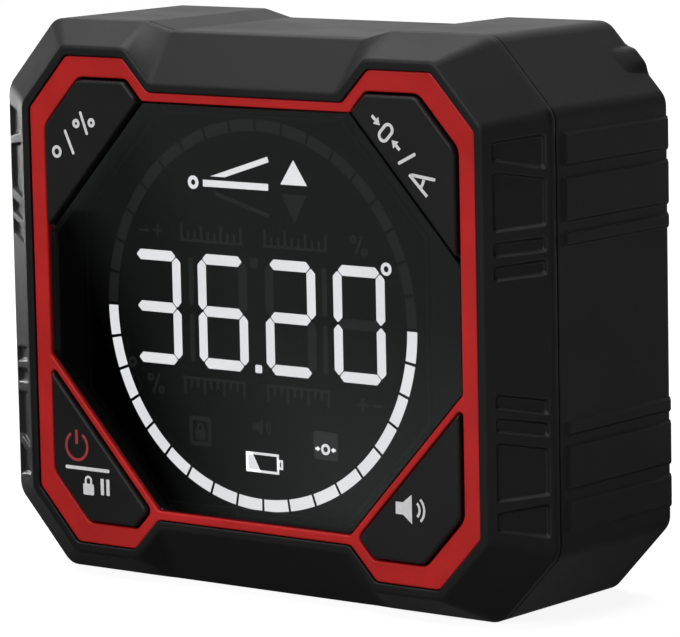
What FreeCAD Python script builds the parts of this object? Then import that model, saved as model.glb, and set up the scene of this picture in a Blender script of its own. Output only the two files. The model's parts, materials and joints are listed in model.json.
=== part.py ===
"""Hand-held digital inclinometer: a chamfered level box with a round-scaled display.

Frame: +Z up, the display faces -Y, the origin is under the middle of the box on its base.
All sizes are millimetres. "Depth" runs from the front face of the red trim into the box.
"Rise" is a height above or below the middle of the display.
"""
import FreeCAD, Part
import math
import os

Vector = FreeCAD.Vector

# ---------------------------------------------------------------- driving sizes
# Display and its octagonal parts
LCD_HALF_WIDTH = 25.6
LCD_HALF_HEIGHT = 23.5
LCD_REACH = 26.0              # centre to the slanted corner sides
LCD_THICK = 1.8
LCD_GAP = 0.25                # free gap round the glass in the front plate
BACKLIGHT_INSET_SIDE = 1.9
BACKLIGHT_INSET = 0.8
BACKLIGHT_THICK = 3.0
LED_SIZE = (3.0, 1.2, 1.0)
HOLDER_WALL_SIDE = 1.3
HOLDER_WALL = 1.2
HOLDER_FLOOR = 0.6
HOLDER_WINDOW_INSET = 5.0
HOLDER_GAP = 0.1
HOLDER_PEG_RADIUS = 0.7
HOLDER_PEG_RISE = 8.0
STRIP_WIDTH = 1.0
STRIP_HALF_LENGTH = 10.0

# Window, its tape and the foam frame behind it
WINDOW_SET_BACK = 0.3
WINDOW_THICK = 1.2
WINDOW_GAP = 0.1
WINDOW_EDGE = 0.15
WINDOW_ROUND = 0.6
TAPE_THICK = 0.2
FOAM_THICK = 0.4
FOAM_WIDTH = 0.35

# Red trim
TRIM_THICK = 0.9
TRIM_EDGE = 0.25
TRIM_GAP = 0.08
TRIM_ROUND = 1.0
TRIM_SIDE_BAR = 2.3
TRIM_EAR_BAR = 2.5
TRIM_CORNER_BAR = 3.05
TRIM_MID_BAR = 1.1
TRIM_KEY_BAR = 0.86
WINDOW_MARGIN_SIDE = 5.3      # display glass to the inner side of the trim
WINDOW_MARGIN_END = 1.0
WINDOW_MARGIN_CORNER = 1.25
EAR_RISE = 3.9                # ears of the trim above its dipped middle
EAR_FOOT_SET = 1.12           # foot of an ear, from where the key's slanted side meets the dip
EAR_SLOPE_WIDTH = 3.75
EAR_SPREAD = 0.33             # share of an outward step that moves an ear's slope inwards

# Keys
KEY_EAR_SET = 0.4             # end of the key's upper side, from the top of the ear's slope
KEY_DEEP = 8.87               # key opening, measured across its slanted sides
KEY_PROUD = 0.4
KEY_GAP = 0.3
KEY_EDGE = 0.35
KEY_ROUNDS = (0.45, 2.2, 1.8, 1.0, 0.9)    # corners of the opening, from its lower outer tip
KEY_FLANGE_WIDTH = 0.45
KEY_FLANGE_THICK = 0.7
KEY_PLAY = 0.05
KEY_TRAVEL = 0.35
KEY_POST_RADIUS = 2.5
WINDOW_TO_KEY = 0.35

# Switch under each key
SWITCH_SET_SIDE = 4.9         # from the key's outer side
SWITCH_SET_DEEP = 3.9         # from the key's slanted side
SWITCH_SIDE = 6.0
SWITCH_HEIGHT = 3.5
PLUNGER_RADIUS = 1.75
PLUNGER_PROUD = 1.0
PLUNGER_DEEP = 1.2
PLUNGER_RUNNING = 0.05
PLUNGER_FLOOR_GAP = 0.15

# Casing
CORNER_LEAN = 42.88           # degrees that the corner faces point above the X axis
BEVEL_WIDTH_CORNER = 5.41
LIP_WIDTH = 1.2
LIP_PROUD = 0.2
LIP_EDGE = ((-0.3, 0.0), (-0.1, 0.06), (0.1, 0.21))   # rounding: beyond its width, behind its front
BEVEL_WIDTH_SIDE = 6.1
BEVEL_WIDTH_END = 2.8
BEVEL_DEEP = 4.4
BEVEL_ROUND = 0.5
FRONT_BAND = 0.75
CASING_DIP = 1.0
DIP_FOOT_SET = 0.15           # dip of the casing, from the trim's ears
DIP_TOP_SET = 0.1
LIP_CREASE_ROUND = 1.6
CASING_CREASE_ROUND = 2.6
BACK_ROUND = 1.0
WALL = 1.8
CAVITY_SPREAD = 0.2           # front cavity beyond the lip, at the plate
BOSS_ROOT = 0.2               # bosses start this far inside the plate
LEDGE_THICK = 0.9
GASKET_THICK = 0.3
GASKET_SET_IN = 0.5

# Recessed panels on the front bevels: rises of their ends at the inner and outer side
PANEL_DEEP = 0.4
PANEL_SLOPE = 0.36            # width of their sloping walls
PANEL_ROUND = 0.35
PANEL_START = 0.12            # share of the bevel's width, from the lip
PANEL_END = 0.92
PANEL_RISES = (
    (6.2, 8.1, 7.0, 8.9),
    (8.9, 10.8, 9.6, 11.4),
    (11.7, 18.8, 12.5, 18.0),
    (19.8, 22.1, 18.8, 22.9),
)

# Raised grip pads on the sides of the rear casing: foot and top rises of each pad
PAD_PROUD = 0.35
PAD_SLOPE = 0.35
PAD_START = 1.1               # behind the parting gap
PAD_END = 0.5                 # in front of the back face
PAD_RISES = ((9.9, 11.6), (12.6, 17.8), (18.9, 22.8))

# Bumper on the upper corner faces, at the back
NUB_HALF_LENGTH = 2.3
NUB_PROUD = 0.7
NUB_DEEP = 4.5
NUB_END = 0.8                 # share of its height where it ends
NUB_SHOULDER = (0.55, 0.8)    # shares of its half length and height where its top levels out
NUB_SINK = 0.05               # its foot under the corner face

# Board and what it carries
BOARD_MARGIN_X = 11.4
BOARD_MARGIN_RISE = 6.3
BOARD_BOSS_GAP = 0.48          # board's corner side to the bosses of the casing screws
BOARD_THICK = 1.6
BOARD_GAP = 1.5               # display holder floor to the board
BOARD_SCREW_SET = 2.6         # from the board's side
BOARD_SCREW_RISE = 9.0
BOARD_BOSS_RADIUS = 2.0
BOARD_SCREW_RADIUS = 0.75
BOARD_SCREW_HEAD = (1.5, 1.0)
BOARD_SCREW_LENGTH = 3.4
SCREW_CLEARANCE = 0.1
THREAD_CLEARANCE = 0.02
PROCESSOR_PLACE = (-9.0, 0.0)
PROCESSOR_SIDE = 10.0
PROCESSOR_THICK = 1.5
PROCESSOR_STAND_OFF = 0.1
LEAD_WIDTH = 0.3
LEAD_PITCH = 0.8
LEADS_PER_SIDE = 11
LEAD_REACH = 1.0
SENSOR_PLACE = (4.0, 0.0)
SENSOR_SIZE = (5.0, 5.0, 1.4)
MEMORY_PLACE = (13.0, 0.0)
MEMORY_SIZE = (5.0, 4.0, 1.5)
REGULATOR_PLACE = (-20.0, 18.0)
REGULATOR_SIZE = (3.0, 1.6, 1.1)
CRYSTAL_PLACE = (-9.0, 9.0)
CRYSTAL_SIZE = (3.2, 1.5, 0.8)
INDUCTOR_PLACE = (-20.0, 22.5)
INDUCTOR_SIZE = (4.0, 4.0, 1.8)
CAPACITOR_PLACE = (-21.0, -8.5)
CAPACITOR_SIZE = (0.8, 1.6, 0.8)
CAPACITOR_COUNT = 6
RESISTOR_PLACE = (2.0, -8.5)
RESISTOR_SIZE = (0.8, 1.6, 0.45)
RESISTOR_COUNT = 8
SMALL_PART_PITCH = 1.9
BUZZER_PLACE = (10.0, 21.0)
BUZZER_RADIUS = 4.8
BUZZER_HEIGHT = 4.5
BUZZER_HOLE_RADIUS = 0.9

# Battery compartment and cells
CELL_RADIUS = 5.25
CELL_LENGTH = 44.5
CELL_NUB_RADIUS = 1.9
CELL_NUB_LENGTH = 1.0
CELL_GAP = 0.4
CELL_CLEARANCE = 0.05
CELL_SIDE_GAP = 0.5
SPRING_ROOM = 3.7
PLATE_THICK = 0.3
PLATE_SIDE = 8.0
LEAF_WIDTH = 5.0
LEG_WIDTH = 2.6
LEG_SLOT_GAP = 0.1
TUB_WALL = 1.2
TUB_FLOOR = 1.2
PART_ROOM = 2.8               # room for chips between the board and the compartment
COVER_GAP_BELOW = 1.25
COVER_THICK = 1.8
COVER_OVERLAP = 1.8
COVER_SIDE_GAP = 0.2
COVER_SEAT_THICK = 1.6
COVER_EDGE = 0.3
TONGUE_HALF_WIDTH = 4.5
TONGUE_RIM = 0.8              # beyond the screw's counterbore
COVER_SCREW_SET = 2.9         # screw axis beyond the cover's straight edge
COVER_SCREW_RADIUS = 1.0
COVER_SCREW_HEAD = (1.9, 0.9)
COVER_SCREW_LENGTH = 6.0
COVER_BOSS_RADIUS = 2.6
COVER_FOAM = (30.0, 8.0, 1.0)

# Screws that join the casings
CASE_SCREW_SET_SIDE = 7.7     # from the casing's side
CASE_BOSS_GAP = 1.13          # key flange to the screw's boss
CASE_SCREW_RADIUS = 1.0
CASE_SCREW_HEAD = (1.9, 1.3)
CASE_SCREW_LENGTH = 8.0
CASE_SEAT_THICK = 2.0
CASE_POST_RADIUS = 3.1
CASE_POST_BORE = 2.2
CASE_BOSS_RADIUS = 2.5
CASE_BOSS_CLEARANCE = 0.2
CASE_JOINT_BEHIND_BOARD = 1.3
COUNTERBORE_GAP = 0.25
CROSS_LENGTH = 1.2            # cross recess, as shares of the head's radius
CROSS_WIDTH = 0.3
CROSS_DEEP = 0.6

# Magnets let into the base
MAGNET_RADIUS = 4.0
MAGNET_THICK = 3.0
MAGNET_X = 20.0
MAGNET_SET_IN = 0.15
MAGNET_GAP = 0.03
MAGNET_WALL = 1.2

# ---------------------------------------------------------------- derived sizes
CORNER_NORMAL = Vector(math.cos(math.radians(CORNER_LEAN)), 0, math.sin(math.radians(CORNER_LEAN)))


def rise_at(reach, x):
    """Rise at which the corner line of that reach passes x."""
    return (reach - x * CORNER_NORMAL.x) / CORNER_NORMAL.z


def x_at(reach, rise):
    """X at which the corner line of that reach passes a rise."""
    return (reach - rise * CORNER_NORMAL.z) / CORNER_NORMAL.x


WINDOW_LEDGE = WINDOW_SET_BACK + WINDOW_THICK + TAPE_THICK
PLATE_BACK = WINDOW_LEDGE + LEDGE_THICK
LCD_FRONT = WINDOW_SET_BACK + WINDOW_THICK + FOAM_THICK
LCD_BACK = LCD_FRONT + LCD_THICK
BACKLIGHT_BACK = LCD_BACK + BACKLIGHT_THICK
BOARD_FRONT = BACKLIGHT_BACK + HOLDER_FLOOR + BOARD_GAP
BOARD_BACK = BOARD_FRONT + BOARD_THICK
SWITCH_FRONT = BOARD_FRONT - SWITCH_HEIGHT
KEY_FLANGE_FRONT = PLATE_BACK + KEY_PLAY
KEY_FLANGE_BACK = KEY_FLANGE_FRONT + KEY_FLANGE_THICK
PLUNGER_FRONT = SWITCH_FRONT - PLUNGER_PROUD

TUB_FLOOR_FRONT = BOARD_BACK + PART_ROOM
TUB_FLOOR_BACK = TUB_FLOOR_FRONT + TUB_FLOOR
CELL_DEPTH = TUB_FLOOR_BACK + CELL_CLEARANCE + CELL_RADIUS
CELL_SPACING = 2 * CELL_RADIUS + CELL_GAP
COVER_FRONT = CELL_DEPTH + CELL_RADIUS + COVER_GAP_BELOW
CASING_DEPTH = COVER_FRONT + COVER_THICK
COVER_SCREW_SEAT = CASING_DEPTH - COVER_SCREW_HEAD[1] - SCREW_CLEARANCE

TRIM_INNER_X = LCD_HALF_WIDTH + WINDOW_MARGIN_SIDE
TRIM_OUTER_X = TRIM_INNER_X + TRIM_SIDE_BAR
TRIM_DIP_INNER = LCD_HALF_HEIGHT + WINDOW_MARGIN_END
TRIM_DIP_OUTER = TRIM_DIP_INNER + TRIM_MID_BAR
TRIM_EAR_OUTER = TRIM_DIP_OUTER + EAR_RISE
TRIM_EAR_INNER = TRIM_EAR_OUTER - TRIM_EAR_BAR
WINDOW_REACH = LCD_REACH + WINDOW_MARGIN_CORNER
KEY_INNER_REACH = WINDOW_REACH + TRIM_KEY_BAR
KEY_OUTER_REACH = KEY_INNER_REACH + KEY_DEEP
TRIM_OUTER_REACH = KEY_OUTER_REACH + TRIM_CORNER_BAR
EAR_FOOT_X = x_at(KEY_INNER_REACH, TRIM_DIP_INNER) - EAR_FOOT_SET
EAR_TOP_X = EAR_FOOT_X + EAR_SLOPE_WIDTH
KEY_EAR_X = EAR_TOP_X - KEY_EAR_SET
SWITCH_X = TRIM_INNER_X - SWITCH_SET_SIDE
SWITCH_RISE = rise_at(KEY_INNER_REACH + SWITCH_SET_DEEP, SWITCH_X)

CASING_HALF_WIDTH = TRIM_OUTER_X + LIP_WIDTH + BEVEL_WIDTH_SIDE
CASING_HALF_HEIGHT = TRIM_EAR_OUTER + LIP_WIDTH + BEVEL_WIDTH_END
CASING_REACH = TRIM_OUTER_REACH + LIP_WIDTH + BEVEL_WIDTH_CORNER
DIP_FOOT_X = EAR_FOOT_X - DIP_FOOT_SET
DIP_TOP_X = EAR_TOP_X + DIP_TOP_SET
BOARD_HALF_WIDTH = LCD_HALF_WIDTH + BOARD_MARGIN_X
BOARD_SCREW_X = BOARD_HALF_WIDTH - BOARD_SCREW_SET
CASE_SCREW_REACH = KEY_OUTER_REACH + KEY_FLANGE_WIDTH + CASE_BOSS_GAP + CASE_BOSS_RADIUS
CASE_SCREW_X = CASING_HALF_WIDTH - CASE_SCREW_SET_SIDE
CASE_SCREW_RISE = rise_at(CASE_SCREW_REACH, CASE_SCREW_X)
BOARD_REACH = CASE_SCREW_REACH - CASE_BOSS_RADIUS - BOARD_BOSS_GAP
PARTING_FRONT = BEVEL_DEEP + FRONT_BAND
PARTING_BACK = PARTING_FRONT + GASKET_THICK
BACK_WALL_FRONT = COVER_FRONT

TUB_HALF_LENGTH = (CELL_LENGTH + SPRING_ROOM) / 2 + PLATE_THICK
TUB_HALF_RISE = CELL_SPACING / 2 + CELL_RADIUS + CELL_SIDE_GAP
COVER_HALF_LENGTH = TUB_HALF_LENGTH + COVER_OVERLAP
COVER_HALF_RISE = TUB_HALF_RISE + COVER_OVERLAP
COVER_SCREW_RISE = COVER_HALF_RISE + COVER_SCREW_SET
COUNTERBORE_RADIUS = COVER_SCREW_HEAD[0] + COUNTERBORE_GAP
TONGUE_TIP_RISE = COVER_SCREW_RISE + COUNTERBORE_RADIUS + TONGUE_RIM

CASE_JOINT = BOARD_BACK + CASE_JOINT_BEHIND_BOARD
CASE_SEAT = CASE_JOINT + CASE_SEAT_THICK

FACE_Y = (KEY_PROUD - CASING_DEPTH) / 2
MIDDLE_Z = CASING_HALF_HEIGHT

OVERCUT = 1.0                 # cutters run this far beyond an open face
STRAIGHT_TURN = 1e-3
SAME_DEPTH = 1e-4
UPPER, LOWER = 1, -1
LEFT, RIGHT = -1, 1
CORNERS = [(side, end) for side in (LEFT, RIGHT) for end in (LOWER, UPPER)]


# ---------------------------------------------------------------- helpers
def place(x, rise, depth):
    """Point of the model for a place given by x, rise and depth."""
    return Vector(x, FACE_Y + depth, MIDDLE_Z + rise)


def wire(points, depth):
    """Closed wire through (x, rise) points, all at one depth."""
    corners = [place(x, rise, depth) for x, rise in points]
    return Part.makePolygon(corners + corners[:1])


def rounded_wire(points, radii, depth):
    """Closed wire with its corners rounded. A straight corner gives a short side instead."""
    corners = [place(x, rise, depth) for x, rise in points]
    neighbours = zip(corners[-1:] + corners[:-1], corners, corners[1:] + corners[:1], radii)
    bends = []
    for before, here, after, radius in neighbours:
        back = (before - here).normalize()
        onward = (after - here).normalize()
        half_turn = (math.pi - back.getAngle(onward)) / 2
        if half_turn < STRAIGHT_TURN:
            bends.append(Part.LineSegment(here + back * radius / 2, here + onward * radius / 2))
            continue
        tangent = radius * math.tan(half_turn)
        sagitta = radius * (1 / math.cos(half_turn) - 1)
        middle = here + (back + onward).normalize() * sagitta
        bends.append(Part.Arc(here + back * tangent, middle, here + onward * tangent))
    edges = []
    for bend, following in zip(bends, bends[1:] + bends[:1]):
        edges.append(bend.toShape())
        edges.append(Part.LineSegment(bend.EndPoint, following.StartPoint).toShape())
    return Part.Wire(edges)


def rounded_slab(points, radii, near, far):
    """Prism of an outline with rounded corners between two depths."""
    face = Part.Face(rounded_wire(points, radii, near))
    return face.extrude(Vector(0, far - near, 0))


def slab(points, near, far):
    """Prism of an outline of (x, rise) points between two depths."""
    face = Part.Face(wire(points, near))
    return face.extrude(Vector(0, far - near, 0))


def block(x_range, rise_range, near, far):
    """Rectangular slab between two depths."""
    (left, right), (low, high) = sorted(x_range), sorted(rise_range)
    return slab([(left, low), (right, low), (right, high), (left, high)], near, far)


def rod(x, rise, radius, near, far):
    """Cylinder that runs along the depth direction."""
    return Part.makeCylinder(radius, far - near, place(x, rise, near), Vector(0, 1, 0))


def chip(x, rise, size_x, size_rise, near, far):
    """Rectangular slab given by its middle and size."""
    return block((x - size_x / 2, x + size_x / 2), (rise - size_rise / 2, rise + size_rise / 2), near, far)


def fused(shapes):
    """One clean solid from touching or overlapping shapes."""
    joined = shapes[0].multiFuse(shapes[1:])
    return joined.removeSplitter()


def at_corner(shape, side, end):
    """Shape of the right upper corner mirrored to another corner."""
    if side == LEFT:
        shape = shape.mirror(place(0, 0, 0), Vector(1, 0, 0))
    if end == LOWER:
        shape = shape.mirror(place(0, 0, 0), Vector(0, 0, 1))
    return shape


def evenly(radius, points):
    """The same radius for every corner of an outline."""
    return [radius] * len(points)


def inset(points, gap):
    """Anticlockwise outline with every side moved inwards by gap (outwards if negative)."""
    moved = []
    for before, here, after in zip(points[-1:] + points[:-1], points, points[1:] + points[:1]):
        first = Vector(before[1] - here[1], here[0] - before[0], 0).normalize()
        second = Vector(here[1] - after[1], after[0] - here[0], 0).normalize()
        shift = (first + second) * (gap / (1 + first.dot(second)))
        moved.append((here[0] + shift.x, here[1] + shift.y))
    return moved


def octagon(half_width, half_height, reach):
    """Anticlockwise rectangle whose four corners are cut at a reach from the middle."""
    quarter = [(half_width, rise_at(reach, half_width)), (x_at(reach, half_height), half_height)]
    right = [(x, -rise) for x, rise in quarter[::-1]] + quarter
    return right + [(-x, rise) for x, rise in right[::-1]]


def eared(quarter_upper, quarter_lower):
    """Sixteen-sided outline from its right upper and right lower corner points, foot of ear first."""
    right = quarter_lower + quarter_upper[::-1]
    return right + [(-x, rise) for x, rise in right[::-1]]


def filleted(shape, radius, wanted):
    """Shape with the edges that wanted() picks rounded."""
    edges = [edge for edge in shape.Edges if wanted(edge)]
    return shape.makeFillet(radius, edges)


def at_depth(depth):
    """Test for edges that lie wholly at one depth."""
    def lies_there(edge):
        return all(abs(vertex.Point.y - FACE_Y - depth) < SAME_DEPTH for vertex in edge.Vertexes)
    return lies_there


# ---------------------------------------------------------------- outlines
def trim_quarter(grow=0.0):
    """Outer corner of the trim, moved outwards by grow."""
    reach = TRIM_OUTER_REACH + grow
    half_width = TRIM_OUTER_X + grow
    ear = TRIM_EAR_OUTER + grow
    return [
        (EAR_FOOT_X - grow * EAR_SPREAD, TRIM_DIP_OUTER + grow),
        (EAR_TOP_X - grow * EAR_SPREAD, ear),
        (x_at(reach, ear), ear),
        (half_width, rise_at(reach, half_width)),
    ]


def trim_outline(grow=0.0):
    """Outer outline of the trim, the same at top and bottom."""
    upper = trim_quarter(grow)
    lower = [(x, -rise) for x, rise in upper]
    return eared(upper, lower)


def casing_outline():
    """Outline of the casing: a shallow dip in the top, a straight base."""
    top = CASING_HALF_HEIGHT
    corner = (CASING_HALF_WIDTH, rise_at(CASING_REACH, CASING_HALF_WIDTH))
    cut = (x_at(CASING_REACH, top), top)
    upper = [(DIP_FOOT_X, top - CASING_DIP), (DIP_TOP_X, top), cut, corner]
    lower = [(DIP_FOOT_X, -top), (DIP_TOP_X, -top), (cut[0], -top), (corner[0], -corner[1])]
    return eared(upper, lower)


def key_opening():
    """Outline of the right upper key opening."""
    slope = EAR_RISE / (EAR_TOP_X - EAR_FOOT_X)
    foot_x = (KEY_INNER_REACH - (TRIM_EAR_INNER - slope * KEY_EAR_X) * CORNER_NORMAL.z) / (
        CORNER_NORMAL.x + slope * CORNER_NORMAL.z)
    return [
        (TRIM_INNER_X, rise_at(KEY_INNER_REACH, TRIM_INNER_X)),
        (TRIM_INNER_X, rise_at(KEY_OUTER_REACH, TRIM_INNER_X)),
        (x_at(KEY_OUTER_REACH, TRIM_EAR_INNER), TRIM_EAR_INNER),
        (KEY_EAR_X, TRIM_EAR_INNER),
        (foot_x, rise_at(KEY_INNER_REACH, foot_x)),
    ]


def window_outline(gap=0.0):
    """Outline of the window's recess; gap shrinks it to the window itself."""
    side = TRIM_INNER_X - gap
    end = TRIM_DIP_INNER - gap
    lower_reach = WINDOW_REACH - gap
    upper_reach = KEY_INNER_REACH - WINDOW_TO_KEY + KEY_GAP - gap
    right = [
        (x_at(lower_reach, end), -end),
        (side, -rise_at(lower_reach, side)),
        (side, rise_at(upper_reach, side)),
        (x_at(upper_reach, end), end),
    ]
    return right + [(-x, rise) for x, rise in right[::-1]]


def lcd_outline(grow=0.0):
    """Outline of the display glass, grown by a gap."""
    return octagon(LCD_HALF_WIDTH + grow, LCD_HALF_HEIGHT + grow, LCD_REACH + grow)


# ---------------------------------------------------------------- casings
def panel_cutter(rises):
    """Cutter of one recessed panel with sloping walls on the right upper bevel."""
    inner_low, inner_high, outer_low, outer_high = rises
    bevel_rear = BEVEL_DEEP + LIP_PROUD
    start_x = TRIM_OUTER_X + LIP_WIDTH
    width = math.hypot(BEVEL_WIDTH_SIDE, bevel_rear)
    near, far = start_x + PANEL_START * width, start_x + PANEL_END * width
    outline = [(near, inner_low), (far, outer_low), (far, outer_high), (near, inner_high)]
    radii = evenly(PANEL_ROUND, outline)
    spread = PANEL_SLOPE / PANEL_DEEP * OVERCUT
    rim = rounded_wire(inset(outline, -spread), radii, -LIP_PROUD - OVERCUT)
    floor = rounded_wire(inset(outline, PANEL_SLOPE), radii, -LIP_PROUD + PANEL_DEEP)
    cutter = Part.makeLoft([rim, floor], True, True)
    lean = math.degrees(math.atan2(bevel_rear, BEVEL_WIDTH_SIDE))
    return cutter.rotated(place(start_x, 0, -LIP_PROUD), Vector(0, 0, 1), lean)


def casing_block(near, far):
    """Solid of the casing's rounded outline between two depths."""
    outline = casing_outline()
    return rounded_slab(outline, evenly(CASING_CREASE_ROUND, outline), near, far)


def front_outer():
    """Outside of the front casing: lip with a rounded edge, bevel and a narrow band."""
    sections = []
    for beyond, behind in LIP_EDGE:
        outline = trim_outline(LIP_WIDTH + beyond)
        radii = evenly(LIP_CREASE_ROUND, outline)
        sections.append(rounded_wire(outline, radii, behind - LIP_PROUD))
    outline = casing_outline()
    sections.append(rounded_wire(outline, evenly(CASING_CREASE_ROUND, outline), BEVEL_DEEP))
    bevel = Part.makeLoft(sections, True, True)
    body = fused([bevel, casing_block(BEVEL_DEEP, PARTING_FRONT)])
    return filleted(body, BEVEL_ROUND, at_depth(BEVEL_DEEP))


def front_cavity():
    """Room inside the front casing, behind its plate."""
    start = wire(inset(trim_outline(LIP_WIDTH), -CAVITY_SPREAD), PLATE_BACK)
    end = wire(inset(casing_outline(), WALL), PARTING_FRONT)
    return Part.makeLoft([start, end], True, True)


def front_shell():
    """Front casing with recesses for trim, window and keys, and its bosses."""
    body = front_outer()
    body = body.cut(front_cavity())
    bosses = []
    for side, end in CORNERS:
        x, rise = side * CASE_SCREW_X, end * CASE_SCREW_RISE
        bosses.append(rod(x, rise, CASE_BOSS_RADIUS, PLATE_BACK - BOSS_ROOT, CASE_JOINT))
        x, rise = side * BOARD_SCREW_X, end * BOARD_SCREW_RISE
        bosses.append(rod(x, rise, BOARD_BOSS_RADIUS, PLATE_BACK - BOSS_ROOT, BOARD_FRONT))
    body = fused([body] + bosses)
    seat = trim_outline(TRIM_GAP)
    cutters = [
        rounded_slab(seat, evenly(TRIM_ROUND, seat), -KEY_PROUD, TRIM_THICK),
        slab(window_outline(), 0, WINDOW_LEDGE),
        slab(lcd_outline(LCD_GAP), 0, PLATE_BACK),
    ]
    for side, end in CORNERS:
        opening = rounded_slab(key_opening(), KEY_ROUNDS, 0, PLATE_BACK)
        cutters.append(at_corner(opening, side, end))
        x, rise = side * CASE_SCREW_X, end * CASE_SCREW_RISE
        cutters.append(rod(x, rise, CASE_SCREW_RADIUS + THREAD_CLEARANCE,
                           CASE_SEAT - CASE_SCREW_LENGTH - SCREW_CLEARANCE, CASE_JOINT))
        x, rise = side * BOARD_SCREW_X, end * BOARD_SCREW_RISE
        cutters.append(rod(x, rise, BOARD_SCREW_RADIUS + THREAD_CLEARANCE,
                           BOARD_BACK - BOARD_SCREW_LENGTH - SCREW_CLEARANCE, BOARD_FRONT))
        cutters.extend(at_corner(panel_cutter(rises), side, end) for rises in PANEL_RISES)
    return body.cut(cutters[0].multiFuse(cutters[1:]))


def grip_pad(foot, top):
    """One raised pad with sloping sides on the right upper side of the rear casing."""
    start, end = PARTING_BACK + PAD_START, CASING_DEPTH - PAD_END
    sections = []
    for x, slope in ((CASING_HALF_WIDTH - WALL / 2, 0), (CASING_HALF_WIDTH, 0),
                     (CASING_HALF_WIDTH + PAD_PROUD, PAD_SLOPE)):
        corners = [
            place(x, foot + slope, start + slope), place(x, foot + slope, end - slope),
            place(x, top - slope, end - slope), place(x, top - slope, start + slope),
        ]
        sections.append(Part.makePolygon(corners + corners[:1]))
    return Part.makeLoft(sections, True, True)


def corner_nub():
    """Bumper on the right upper corner face: a soft swelling that grows towards the back."""
    along = Vector(-CORNER_NORMAL.z, 0, CORNER_NORMAL.x)
    lower = Vector(CASING_HALF_WIDTH, 0, rise_at(CASING_REACH, CASING_HALF_WIDTH))
    upper = Vector(x_at(CASING_REACH, CASING_HALF_HEIGHT), 0, CASING_HALF_HEIGHT)
    rear = CASING_DEPTH - PAD_END
    root = CORNER_NORMAL * -WALL / 2
    foot = along * NUB_HALF_LENGTH
    level_out, level_share = NUB_SHOULDER
    sections = []
    for share, depth in ((0, rear - NUB_DEEP), (1, rear - PAD_SLOPE), (NUB_END, rear)):
        middle = (lower + upper) / 2 + place(0, 0, depth) - CORNER_NORMAL * NUB_SINK
        top = CORNER_NORMAL * NUB_PROUD * share
        swell = Part.BSplineCurve()
        swell.interpolate(
            Points=[middle - foot, middle - foot * level_out + top * level_share, middle + top,
                    middle + foot * level_out + top * level_share, middle + foot],
            InitialTangent=foot, FinalTangent=foot)
        base = Part.makePolygon([middle + foot, middle + foot + root, middle - foot + root, middle - foot])
        sections.append(Part.Wire([swell.toShape()] + base.Edges))
    return Part.makeLoft(sections, True, True)


def cover_outline(gap=0.0):
    """Outline of the battery cover's seat; gap shrinks it to the cover itself."""
    side = COVER_HALF_LENGTH - gap
    end = COVER_HALF_RISE - gap
    tongue = TONGUE_HALF_WIDTH - gap
    tip = TONGUE_TIP_RISE - gap
    upper_right = [(side, end), (tongue, end), (tongue, tip)]
    upper = upper_right + [(-x, rise) for x, rise in upper_right[::-1]]
    return upper + [(-x, -rise) for x, rise in upper]


def boss_room():
    """Room behind the parting plane for the front casing's screw bosses."""
    radius = CASE_BOSS_RADIUS + CASE_BOSS_CLEARANCE
    return [rod(side * CASE_SCREW_X, end * CASE_SCREW_RISE, radius, PARTING_FRONT, CASE_JOINT)
            for side, end in CORNERS]


def rear_shell():
    """Rear casing with its battery compartment, screw posts, grip pads and magnet seats."""
    outer = casing_block(PARTING_BACK, CASING_DEPTH)
    outer = filleted(outer, BACK_ROUND, at_depth(CASING_DEPTH))
    shapes = [outer]
    for side, end in CORNERS:
        shapes.extend(at_corner(grip_pad(foot, top), side, end) for foot, top in PAD_RISES)
    shapes.extend(at_corner(corner_nub(), side, UPPER) for side in (LEFT, RIGHT))
    body = fused(shapes)
    body = body.cut(slab(inset(casing_outline(), WALL), PARTING_BACK, BACK_WALL_FRONT))

    seat_front = COVER_FRONT - COVER_SEAT_THICK
    inner = [
        block((-TUB_HALF_LENGTH - TUB_WALL, TUB_HALF_LENGTH + TUB_WALL),
              (-TUB_HALF_RISE - TUB_WALL, TUB_HALF_RISE + TUB_WALL), TUB_FLOOR_FRONT, COVER_FRONT),
        slab(inset(cover_outline(), -TUB_WALL), seat_front, COVER_FRONT),
    ]
    for end in (LOWER, UPPER):
        inner.append(rod(0, end * COVER_SCREW_RISE, COVER_BOSS_RADIUS,
                         COVER_FRONT - COVER_SCREW_LENGTH, COVER_FRONT))
    for side, end in CORNERS:
        inner.append(rod(side * CASE_SCREW_X, end * CASE_SCREW_RISE, CASE_POST_RADIUS,
                         CASE_JOINT, BACK_WALL_FRONT))
    for side in (LEFT, RIGHT):
        inner.append(magnet_boss(side))
    body = fused([body] + inner)

    cutters = [
        slab(cover_outline(), COVER_FRONT, CASING_DEPTH + OVERCUT),
        block((-TUB_HALF_LENGTH, TUB_HALF_LENGTH), (-TUB_HALF_RISE, TUB_HALF_RISE),
              TUB_FLOOR_BACK, COVER_FRONT),
    ]
    for end in (LOWER, UPPER):
        cutters.append(rod(0, end * COVER_SCREW_RISE, COVER_SCREW_RADIUS + THREAD_CLEARANCE,
                           COVER_FRONT - COVER_SCREW_LENGTH - OVERCUT, COVER_FRONT))
        cutters.append(chip(-TUB_HALF_LENGTH + PLATE_THICK / 2, end * CELL_SPACING / 2,
                            PLATE_THICK + 2 * LEG_SLOT_GAP, LEG_WIDTH + 2 * LEG_SLOT_GAP,
                            TUB_FLOOR_FRONT, TUB_FLOOR_BACK))
    cutters.extend(boss_room())
    for side, end in CORNERS:
        x, rise = side * CASE_SCREW_X, end * CASE_SCREW_RISE
        cutters.append(rod(x, rise, CASE_POST_BORE, CASE_SEAT, CASING_DEPTH + OVERCUT))
        cutters.append(rod(x, rise, CASE_SCREW_RADIUS + SCREW_CLEARANCE, CASE_JOINT, CASE_SEAT))
    for side in (LEFT, RIGHT):
        cutters.append(magnet_shape(side, MAGNET_RADIUS + MAGNET_GAP, 0, MAGNET_SET_IN + MAGNET_THICK))
    return body.cut(cutters[0].multiFuse(cutters[1:]))


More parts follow.
